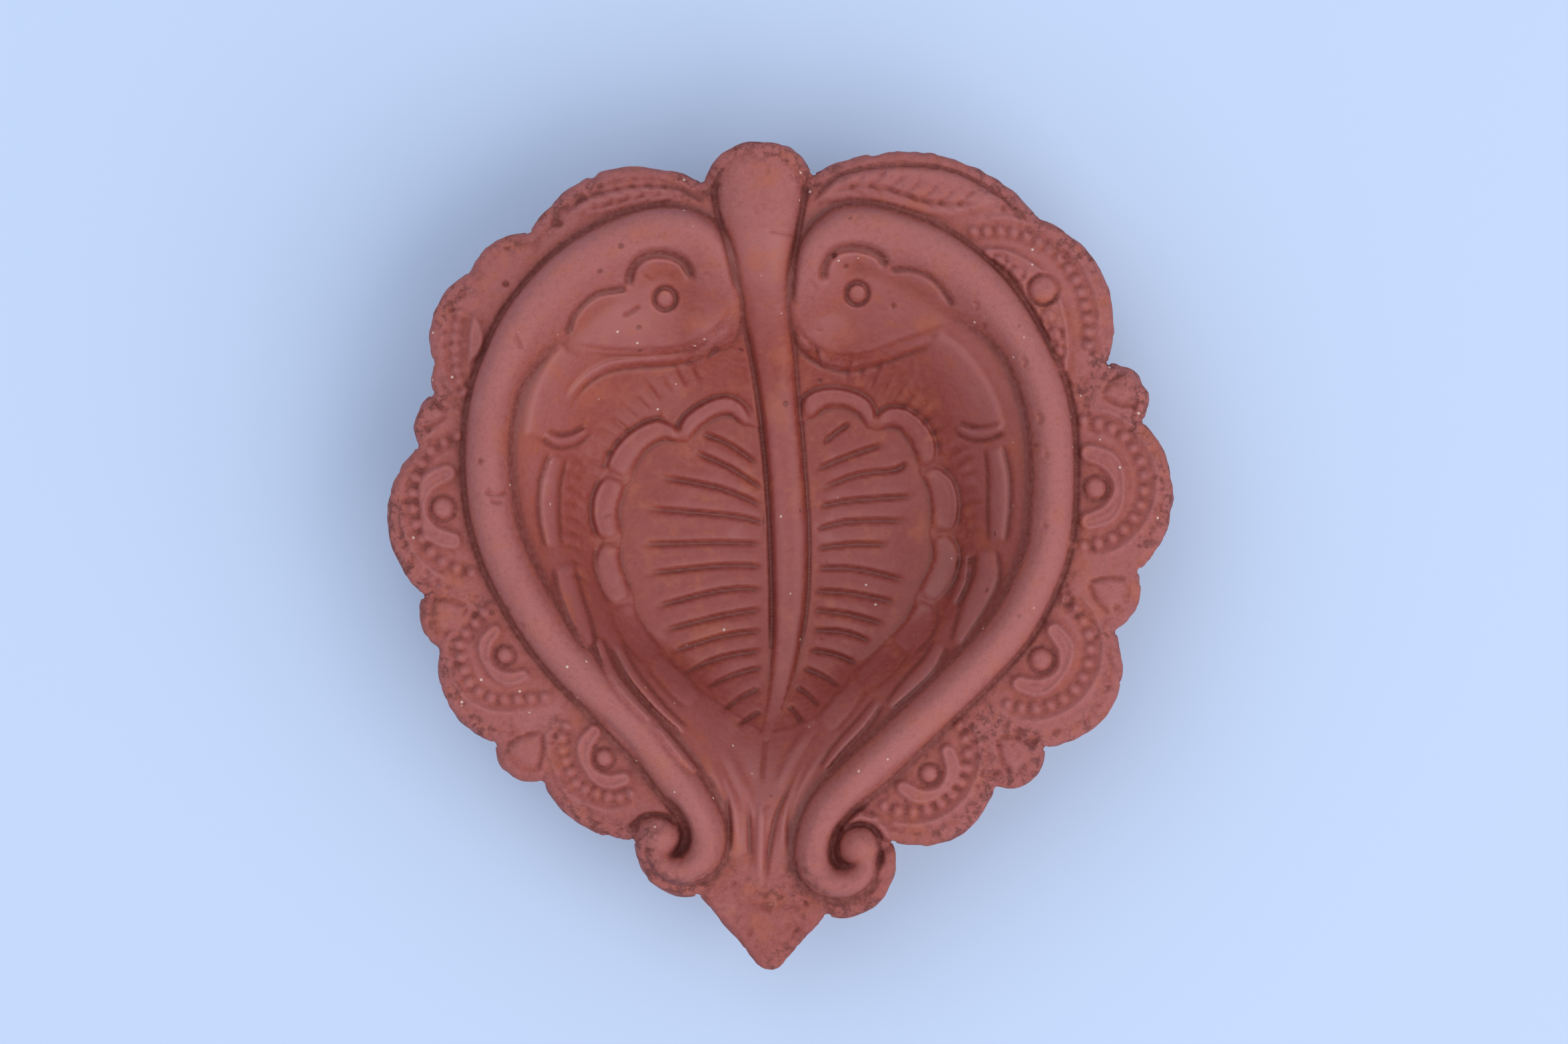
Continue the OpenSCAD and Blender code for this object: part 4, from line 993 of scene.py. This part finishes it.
class Skin:
    """The whole upper surface and outer edge as one set of vertices, which the pieces share."""

    def __init__(self):
        inner, out = inset_loop(LOOP_POINTS)
        n = self.loop = LOOP_POINTS
        rows = np.arange(*FIELD_Y, PITCH * ROW_SHARE)
        cols = np.arange(*FIELD_X, PITCH)
        gx, gy = np.meshgrid(cols, rows)
        gx[::2] += PITCH / 2
        valid = inside_polygon(gx, gy, inner)
        close = valid & (outline_distance(gx, gy) > -3 * EDGE - 2)
        valid[close] &= distance_to(inner, gx[close], gy[close])[0] > 0.6 * PITCH
        points = np.vstack([inner, np.stack([gx[valid], gy[valid]], 1)])
        loop_edges = [(k, (k + 1) % n) for k in range(n)]
        self.tris = triangulate(points, loop_edges, 1)
        self.xy = points
        self.coarse = np.zeros(len(points), bool)
        ri, ci = np.nonzero(valid)
        self.coarse[n:] = (ri % COARSE_STEP == 0) & (ci % COARSE_STEP == 0)

        clay, to_edge = model(points[:, 0], points[:, 1])
        self.clay = clay
        self.z = clay.z
        self.hollow = np.zeros(len(points))
        self.hollow[n:] = self.depth_of_hollows(clay.z[n:] - clay.base[n:], valid)
        self.worn = smooth(1 - (to_edge - EDGE) / 2.2)
        self.tri_owner = np.sort(clay.owner[self.tris], 1)[:, 1]
        self.tri_body = np.sort(clay.body[self.tris], 1)[:, 1]
        # Triangles of a body piece stay with the body that lies there
        is_body = self.tri_owner < len(BODY)
        self.tri_body[is_body] = self.tri_owner[is_body]
        self.add_edge(inner, out)

    def depth_of_hollows(self, z, valid):
        """How far each point stands above its surroundings, at two widths, in millimetres."""
        full = np.zeros(valid.shape)
        full[valid] = z
        weight = valid.astype(float)
        for a in (full, weight):  # every other row stands half a step to the right
            a[::2] = (a[::2] + np.roll(a[::2], 1, axis=1)) / 2
        level = full / np.maximum(weight, 1e-6)
        out = 0
        for size, gain in ((0.7, 1.0), (2.0, 0.32)):
            half = max(1, int(round(size / PITCH)))
            blur, mass = full.copy(), weight.copy()
            for _ in range(2):
                for axis in (0, 1):
                    blur = self.box(blur, half, axis)
                    mass = self.box(mass, half, axis)
            out = out + gain * (level - blur / np.maximum(mass, 1e-6))
        out[::2] = (out[::2] + np.roll(out[::2], -1, axis=1)) / 2
        return out[valid]

    @staticmethod
    def box(a, half, axis):
        total = a.copy()
        for k in range(1, half + 1):
            total += np.roll(a, k, axis) + np.roll(a, -k, axis)
        return total / (2 * half + 1)

    def add_edge(self, inner, out_dir):
        """Rounded, slightly battered band from the upper surface over the edge and under."""
        n = self.loop
        (px, py), (nx, ny) = inner.T, out_dir.T
        lx, ly = px + nx, py + ny
        top, low = self.z[:n], underside(px, py)
        turn_top, turn_low = np.linspace(15, 90, 6), np.linspace(90, 165, 5)
        rows = []
        for a in np.radians(turn_top):
            rows.append((EDGE * math.sin(a), top - EDGE * (1 - math.cos(a))))
        for t in (0.33, 0.66):
            rows.append((EDGE + 0.10 * math.sin(math.pi * t),
                         (top - EDGE) * (1 - t) + (low + EDGE) * t))
        for a in np.radians(turn_low):
            rows.append((EDGE * math.sin(a), low + EDGE * (1 + math.cos(a))))
        rows.append((np.zeros(n), low))
        self.rows = len(rows)
        # In the notches between lobes the rows run together on one line, which they may not pass
        apart = np.hypot(*(np.roll(inner, -1, 0) - np.roll(inner, 1, 0)).T)
        kept = np.hypot(np.roll(lx, -1) - np.roll(lx, 1), np.roll(ly, -1) - np.roll(ly, 1))
        limit = np.where(kept < 0.75 * apart, 0.96 * EDGE, 2 * EDGE)
        for _ in range(3):
            limit = np.minimum(limit, (np.roll(limit, 1) + limit + np.roll(limit, -1)) / 3)
        ring = []
        for k, (out, z) in enumerate(rows):
            swing = math.sin(math.pi * (k + 1) / len(rows))
            zn = np.full(n, float(k)) * 0.5
            battered = (0.16 * noise(lx + zn, ly + zn, 1.1, 21)
                        + 0.14 * noise(lx, ly + zn, 3.0, 22))
            chip = np.maximum(0, noise(lx + 50, ly + zn * 0.7, 1.9, 23) - 0.45) * 0.7
            reach = np.minimum(out + (battered - chip) * swing, limit)
            ring.append(np.stack([px + nx * reach, py + ny * reach, z - 0.5 * chip * swing], 1))
        ring[-1] = np.stack([px, py, low], 1)
        top_xyz = np.column_stack([self.xy, self.z])
        self.verts = np.vstack([top_xyz, *ring])
        quads = []
        count = len(self.xy)
        for r in range(self.rows):
            a = np.arange(n)
            b = (a + 1) % n
            up_a, up_b = (a, b) if r == 0 else (count + (r - 1) * n + a, count + (r - 1) * n + b)
            dn_a, dn_b = count + r * n + a, count + r * n + b
            quads += [np.stack([up_a, dn_a, dn_b], 1), np.stack([up_a, dn_b, up_b], 1)]
        self.ring_tris = np.stack(quads, 1).reshape(n, -1, 3)  # for each loop edge, its triangles
        all_tris = np.vstack([self.tris, self.ring_tris.reshape(-1, 3)])
        self.normals = vertex_normals(self.verts, all_tris)
        extra = self.rows * n
        self.hollow = np.concatenate([self.hollow, np.zeros(extra)])
        self.worn = np.concatenate([self.worn, np.ones(extra)])


# ---------------------------------------------------------------- pieces


def closed_piece(skin, name):
    """Vertices, triangles, corner normals and shading values of one element as a closed solid."""
    k = INDEX[name]
    is_body = name in BODY
    xy, count, n = skin.xy, len(skin.xy), skin.loop
    if is_body:
        pick = skin.tri_body == k
        tris, mine = skin.tris[pick], skin.tri_owner[pick] == k
    else:
        pick = skin.tri_owner == k
        tris, mine = skin.tris[pick], np.ones(pick.sum(), bool)
    pocket = skin.clay.base - SEAT
    verts, normals, faces, corners = [skin.verts], [skin.normals], [], []
    hollow, worn = [skin.hollow], [skin.worn]
    size = len(skin.verts)

    def add_verts(p, nrm=None):
        nonlocal size
        first = size
        verts.append(p)
        normals.append(np.zeros_like(p) if nrm is None else nrm)
        hollow.append(np.zeros(len(p)))
        worn.append(np.zeros(len(p)))
        size += len(p)
        return first

    def add_faces(f, shaded):
        if len(f):
            faces.append(f)
            corners.append(np.full(len(f), shaded))

    add_faces(tris[mine], True)
    sunk = None
    if is_body and (~mine).any():
        # Under every other element the body has a pocket of the same outline
        sunk = add_verts(np.column_stack([xy, pocket - POCKET_GAP]))
        add_faces(tris[~mine] + sunk, False)
        a, b, _ = boundary(tris[mine], count)
        oa, ob, _ = boundary(tris, count)
        outer = np.isin(a.astype(np.int64) * count + b, oa.astype(np.int64) * count + ob)
        a, b = a[~outer], b[~outer]
        add_faces(np.stack([a, a + sunk, b + sunk], 1), False)
        add_faces(np.stack([a, b + sunk, b], 1), False)

    a, b, which = boundary(tris, count)
    on_edge = (a < n) & (b < n) & (b == (a + 1) % n)
    ring = skin.ring_tris[a[on_edge]].reshape(-1, 3)
    add_faces(ring, True)

    # The lower side, on the same boundary
    loop_verts = np.unique(np.concatenate([a, b]))
    used = np.zeros(count, bool)
    used[np.unique(tris)] = True
    used[loop_verts] = False
    inner = np.flatnonzero(used & skin.coarse)
    under = np.concatenate([loop_verts, inner])
    local = np.full(count, -1)
    local[under] = np.arange(len(under))
    low_tris = triangulate(xy[under], np.stack([local[a], local[b]], 1), 2)
    ra, rb, _ = boundary(low_tris, len(under))
    same = np.array_equal(np.sort(ra.astype(np.int64) * count + rb),
                          np.sort(local[a].astype(np.int64) * count + local[b]))
    # Where the sparse lower side misses part of the boundary, it copies the upper side instead
    if not same and len(tris) < MOST_COPIED:
        under = np.unique(tris)
        local[under] = np.arange(len(under))
        low_tris = local[tris]
    low_z = underside(xy[under, 0], xy[under, 1]) if is_body else pocket[under]
    low_normals = under_normals(xy[under, 0], xy[under, 1])
    low = add_verts(np.column_stack([xy[under], low_z]), low_normals)
    add_faces(low_tris[:, ::-1] + low, is_body)

    # Walls down to it, except along the outer edge of the lamp
    level = np.zeros(len(a), int)
    if sunk is not None:
        level[~mine[which]] = sunk
    wa, wb, lift = a[~on_edge], b[~on_edge], level[~on_edge]
    la, lb = local[wa] + low, local[wb] + low
    add_faces(np.stack([wa + lift, la, lb], 1), False)
    add_faces(np.stack([wa + lift, lb, wb + lift], 1), False)
    # Ends of the rounded edge, where one piece hands over to the next
    starts = np.setdiff1d(a[on_edge], b[on_edge])
    stops = np.setdiff1d(b[on_edge], a[on_edge])
    for v, flip in [(v, True) for v in starts] + [(v, False) for v in stops]:
        chain = [v] + [count + r * n + v for r in range(skin.rows)]
        fan = np.array([(chain[0], chain[r], chain[r + 1]) for r in range(1, skin.rows)])
        add_faces(fan[:, ::-1] if flip else fan, False)
    verts, normals = np.vstack(verts), np.vstack(normals)
    faces, shaded = np.vstack(faces), np.concatenate(corners)
    keep = np.unique(faces)
    small = np.zeros(len(verts), int)
    small[keep] = np.arange(len(keep))
    p = verts[faces]
    flat_normal = unit(np.cross(p[:, 1] - p[:, 0], p[:, 2] - p[:, 0]))
    corner = np.where(shaded[:, None, None], normals[faces], flat_normal[:, None, :])
    return (verts[keep], small[faces], corner, np.concatenate(hollow)[keep],
            np.concatenate(worn)[keep])


def add_piece(name, verts, faces, corner, hollow, worn, material, slot):
    mesh = bpy.data.meshes.new(name + "_clay")
    mesh.from_pydata((verts * MM).tolist(), [], faces.tolist())
    mesh.polygons.foreach_set("use_smooth", np.ones(len(faces), bool))
    for key, value in (("hollow", hollow), ("worn", worn)):
        attribute = mesh.attributes.new(key, "FLOAT", "POINT")
        attribute.data.foreach_set("value", value.astype(np.float32))
    mesh.update()
    mesh.normals_split_custom_set(list(map(tuple, corner.reshape(-1, 3).tolist())))
    mesh.materials.append(material)
    obj = bpy.data.objects.new(name + "_clay", mesh)
    bpy.context.scene.collection.objects.link(obj)
    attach(obj, "root")
    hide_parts(name)


def foot_piece(material):
    """Low turned pad with a soft, slightly uneven edge and a flat underside."""
    # Share of the foot's radius, and height where the foot is two high
    profile = [
        (0.0, 0.0), (0.30, 0.0), (0.62, 0.0), (0.88, 0.0), (0.945, 0.0), (0.975, 0.06),
        (0.993, 0.22), (1.0, 0.5), (1.004, 0.9), (1.016, 1.3), (1.045, 1.75), (1.09, 2.15),
        (1.12, 2.5), (0.9, 2.9), (0.5, 2.9), (0.0, 2.9),
    ]
    m = 160  # points round the foot
    angles = np.linspace(0, 2 * math.pi, m, endpoint=False)
    rings = []
    for share, z in profile[1:-1]:
        wobble = 1 + 0.006 * noise(np.cos(angles) * 9, np.sin(angles) * 9, 5.0, 31) * (z > 0)
        r = FOOT_R * share * wobble
        ring_x, ring_y = r * np.cos(angles), r * np.sin(angles)
        ring_z = np.full(m, z * FOOT_TOP / 2)
        if share > 1.03:
            # The top of the foot runs up into the underside of the bowl in a soft fillet
            ring_z = np.maximum(ring_z, underside(ring_x, ring_y) + 12.0 * (share - 1.085))
        rings.append(np.stack([ring_x, ring_y, ring_z], 1))
    verts = np.vstack([[[0, 0, 0]], *rings, [[0, 0, profile[-1][1] * FOOT_TOP / 2]]])
    last = len(verts) - 1
    j = np.arange(m)
    k = (j + 1) % m
    faces = [np.stack([np.zeros(m, int), 1 + k, 1 + j], 1)]
    for r in range(len(rings) - 1):
        a, d = 1 + r * m + j, 1 + (r + 1) * m + j
        b, c = 1 + r * m + k, 1 + (r + 1) * m + k
        faces += [np.stack([a, b, c], 1), np.stack([a, c, d], 1)]
    top = 1 + (len(rings) - 1) * m
    faces.append(np.stack([top + j, top + k, np.full(m, last)], 1))
    faces = np.vstack(faces)
    normal = vertex_normals(verts, faces)
    add_piece("foot", verts, faces, normal[faces], np.zeros(len(verts)),
              np.full(len(verts), FOOT_WORN), material, "clay_wiped")


# ---------------------------------------------------------------- material


class Nodes:
    """Short way to write a node tree. The scales of its patterns are per metre."""

    def __init__(self, tree):
        self.tree = tree
        tree.nodes.clear()

    def add(self, kind):
        return self.tree.nodes.new(kind)

    def attribute(self, name):
        node = self.add("ShaderNodeAttribute")
        node.attribute_name = name
        return node.outputs["Fac"]

    def link(self, source, target):
        self.tree.links.new(source, target)

    def math(self, operation, a, b=None, clamp=False):
        node = self.add("ShaderNodeMath")
        node.operation, node.use_clamp = operation, clamp
        for k, value in enumerate((a, b)):
            if value is None:
                continue
            if isinstance(value, (int, float)):
                node.inputs[k].default_value = value
            else:
                self.link(value, node.inputs[k])
        return node.outputs[0]

    def ramp(self, value, low, high, out_low=0.0, out_high=1.0):
        node = self.add("ShaderNodeMapRange")
        node.interpolation_type = "SMOOTHSTEP"
        for key, v in (("From Min", low), ("From Max", high),
                       ("To Min", out_low), ("To Max", out_high)):
            node.inputs[key].default_value = v
        self.link(value, node.inputs["Value"])
        return node.outputs["Result"]

    def mix(self, factor, a, b):
        node = self.add("ShaderNodeMix")
        node.data_type, node.blend_type, node.clamp_factor = "RGBA", "MIX", True
        if isinstance(factor, (int, float)):
            node.inputs["Factor"].default_value = factor
        else:
            self.link(factor, node.inputs["Factor"])
        for key, value in (("A", a), ("B", b)):
            socket = [s for s in node.inputs if s.name == key and s.type == "RGBA"][0]
            if isinstance(value, tuple):
                socket.default_value = (*value, 1.0)
            else:
                self.link(value, socket)
        return [s for s in node.outputs if s.type == "RGBA"][0]

    def noise(self, vector, scale, detail=3.0, rough=0.55):
        node = self.add("ShaderNodeTexNoise")
        node.inputs["Scale"].default_value = scale
        node.inputs["Detail"].default_value = detail
        node.inputs["Roughness"].default_value = rough
        self.link(vector, node.inputs["Vector"])
        return node.outputs["Fac"]

    def cells(self, vector, scale):
        """Distance to the middle of the nearest cell, and the channels of that cell's colour."""
        node = self.add("ShaderNodeTexVoronoi")
        node.inputs["Scale"].default_value = scale
        self.link(vector, node.inputs["Vector"])
        channels = self.add("ShaderNodeSeparateColor")
        self.link(node.outputs["Color"], channels.inputs[0])
        return node.outputs["Distance"], channels.outputs


ROSE = (0.352, 0.099, 0.090)  # fired clay where it is dry and dusty, on the border and necks
RED_BROWN_AND_SHADE = (0.275, 0.050, 0.038)  # red-brown: painted shade towards the depth of the bowl, and a redder, darker clay tone in soft patches and at the spout
# pale pink for dusty patches and grain, and the painted highlight on raised relief
DUST_AND_HIGHLIGHT = (0.425, 0.150, 0.142)
DARK = (0.130, 0.028, 0.024)
OCHRE = (0.400, 0.100, 0.050)
SHADE = (0.300, 0.060, 0.038)  # warm painted shade for the lower parts between the ridges
SPECK = (0.700, 0.520, 0.450)


def clay_material(name, roughness, shine, grainy):
    """Unglazed fired clay. It has no pattern to line up, so all pieces read as one body."""
    material = bpy.data.materials.new(name)
    material.use_nodes = True
    n = Nodes(material.node_tree)
    where = n.add("ShaderNodeTexCoord").outputs["Object"]
    split = n.add("ShaderNodeSeparateXYZ")
    n.link(where, split.inputs[0])
    height = split.outputs["Z"]
    hollow, worn = n.attribute("hollow"), n.attribute("worn")

    broad = n.noise(where, 55.0, 3.0, 0.55)
    patchy = n.noise(where, 190.0, 4.0, 0.6)
    grain = n.noise(where, 1500.0, 3.0, 0.7)
    fine = n.noise(where, 5200.0, 2.0, 0.6)

    # Painted shade: darker and redder towards the depth of the bowl. Redder also in soft patches of
    # the clay
    deep = n.ramp(height, 0.0165, 0.0075)
    tint = n.math("ADD", deep, n.ramp(broad, 0.40, 0.70, -0.28, 0.34), clamp=True)
    color = n.mix(tint, ROSE, RED_BROWN_AND_SHADE)
    # The spout is a little darker
    color = n.mix(n.ramp(split.outputs["Y"], -0.026, -0.044, 0.0, 0.45), color, RED_BROWN_AND_SHADE)
    color = n.mix(n.ramp(patchy, 0.50, 0.74, 0.0, 0.72), color, OCHRE)
    color = n.mix(n.ramp(patchy, 0.44, 0.22, 0.0, 0.50), color, DUST_AND_HIGHLIGHT)
    color = n.mix(n.ramp(n.noise(where, 520.0, 3.0, 0.6), 0.52, 0.76, 0.0, 0.55), color, OCHRE)

    # Painted highlight, pale as dust, on what stands out; painted shade, warm and then dark, in
    # what lies deep
    color = n.mix(n.ramp(hollow, 0.04, 0.40, 0.0, 0.30), color, DUST_AND_HIGHLIGHT)
    color = n.mix(n.ramp(hollow, 0.02, -0.22, 0.0, 0.60), color, SHADE)
    color = n.mix(n.ramp(hollow, -0.12, -0.55, 0.0, 0.66), color, DARK)

    # Crumbled edge
    crumbs = n.noise(where, 900.0, 4.0, 0.7)
    clusters = n.ramp(n.noise(where, 130.0, 2.0, 0.5), 0.40, 0.56)
    broken = n.math("MULTIPLY", worn, n.ramp(crumbs, 0.46, 0.60), clamp=True)
    broken = n.math("MULTIPLY", broken, n.math("ADD", n.math("MULTIPLY", clusters, 0.80), 0.20))
    color = n.mix(n.math("MULTIPLY", broken, 0.85), color, DARK)

    # Grain, pale grits and dark pores
    color = n.mix(n.ramp(grain, 0.40, 0.66, 0.0, 0.30 * grainy), color, DUST_AND_HIGHLIGHT)
    color = n.mix(n.ramp(grain, 0.48, 0.30, 0.0, 0.20 * grainy), color, DARK)
    color = n.mix(n.ramp(fine, 0.62, 0.40, 0.0, 0.14 * grainy), color, DARK)
    # Both are centres of cells, in the few cells whose random colour passes a limit
    spot, pick = n.cells(where, 900.0)
    grit = n.math("MULTIPLY", n.ramp(spot, 0.19, 0.09), n.ramp(pick[0], 0.955, 0.965))
    color = n.mix(n.math("MULTIPLY", grit, 0.8), color, SPECK)
    spot, pick = n.cells(where, 330.0)
    pore = n.math("MULTIPLY", n.ramp(spot, 0.15, 0.06), n.ramp(pick[1], 0.80, 0.82))
    color = n.mix(n.math("MULTIPLY", pore, 0.6), color, DARK)

    shader = n.add("ShaderNodeBsdfPrincipled")
    n.link(color, shader.inputs["Base Color"])
    n.link(n.ramp(grain, 0.3, 0.7, roughness - 0.08, roughness + 0.08), shader.inputs["Roughness"])
    shader.inputs["Specular IOR Level"].default_value = shine

    relief = n.math("ADD", n.math("MULTIPLY", grain, 0.000060 * grainy),
                    n.math("MULTIPLY", fine, 0.000018 * grainy))
    relief = n.math("ADD", relief, n.math("MULTIPLY", crumbs, n.math("MULTIPLY", worn, 0.00022)))
    relief = n.math("SUBTRACT", relief, n.math("MULTIPLY", pore, 0.00009))
    relief = n.math("ADD", relief, n.math("MULTIPLY", grit, 0.00003))
    bump = n.add("ShaderNodeBump")
    bump.inputs["Distance"].default_value = 1.0
    bump.inputs["Strength"].default_value = 0.9
    n.link(relief, bump.inputs["Height"])
    n.link(bump.outputs["Normal"], shader.inputs["Normal"])
    out = n.add("ShaderNodeOutputMaterial")
    n.link(shader.outputs[0], out.inputs["Surface"])
    return material


# ---------------------------------------------------------------- build
skin = Skin()
rim_clay = clay_material("clay_rim", 0.74, 0.36, 0.9)
bowl_clay = clay_material("clay_bowl", 0.50, 0.38, 0.45)  # smoother than the rim
wiped_clay = clay_material("clay_wiped", 0.70, 0.36, 0.6)
BORDER_PIECES = {"border_left", "border_right", "spout_lip", "stem_knob"}
RAISED_BORDER = ("neck", "scroll", "crown", "medallion", "lobe_motif")
for name in ELEMENTS:
    on_border = name in BORDER_PIECES or name.startswith(RAISED_BORDER)
    add_piece(name, *closed_piece(skin, name), rim_clay if on_border else bowl_clay,
              "clay_rim" if on_border else "clay_bowl")
foot_piece(wiped_clay)

# ---------------------------------------------------------------- floor, light and camera
FLOOR_SIZE = 1.6  # metres
floor_mesh = bpy.data.meshes.new("floor")
h = FLOOR_SIZE / 2
floor_mesh.from_pydata([(-h, -h, 0), (h, -h, 0), (h, h, 0), (-h, h, 0)], [], [(0, 1, 2, 3)])
floor = bpy.data.objects.new("floor", floor_mesh)
bpy.context.scene.collection.objects.link(floor)
floor_material = bpy.data.materials.new("floor_pale")
floor_material.use_nodes = True
shade = floor_material.node_tree.nodes["Principled BSDF"]
shade.inputs["Base Color"].default_value = (0.55, 0.655, 0.85, 1)
shade.inputs["Roughness"].default_value = 0.95
shade.inputs["Specular IOR Level"].default_value = 0.1
floor_mesh.materials.append(floor_material)

CAMERA_AT = (0.00145, 0.0043)  # the point below the camera
CAMERA_UP = 0.66  # height of the camera above the floor
SEEN_WIDTH = 0.1801  # width of the picture at the height of the border
SENSOR = 36.0
camera_data = bpy.data.cameras.new("camera")
camera_data.sensor_width = SENSOR
camera_data.lens = SENSOR * (CAMERA_UP - BORDER_TOP * MM) / SEEN_WIDTH
camera = bpy.data.objects.new("camera", camera_data)
camera.location = (*CAMERA_AT, CAMERA_UP)
bpy.context.scene.collection.objects.link(camera)
bpy.context.scene.camera = camera


def area_light(name, toward, distance, size, power, color):
    """Square lamp in the direction toward, facing the origin."""
    data = bpy.data.lights.new(name, "AREA")
    data.size, data.energy, data.color = size, power, color
    lamp = bpy.data.objects.new(name, data)
    azimuth, elevation = (math.radians(v) for v in toward)
    place = (distance * math.cos(elevation) * math.cos(azimuth),
             distance * math.cos(elevation) * math.sin(azimuth), distance * math.sin(elevation))
    lamp.location = place
    lamp.rotation_euler = (math.pi / 2 - elevation, 0, azimuth + math.pi / 2)
    bpy.context.scene.collection.objects.link(lamp)


area_light("window", (-38, 44), 1.2, 1.3, 9.0, (1.0, 0.97, 0.93))
area_light("fill", (142, 58), 1.4, 1.2, 4.0, (0.86, 0.93, 1.0))

world = bpy.data.worlds.new("sky")
world.use_nodes = True
world.node_tree.nodes["Background"].inputs["Color"].default_value = (0.80, 0.88, 1.0, 1)
world.node_tree.nodes["Background"].inputs["Strength"].default_value = 0.74
bpy.context.scene.world = world
bpy.context.scene.view_settings.view_transform = "Standard"
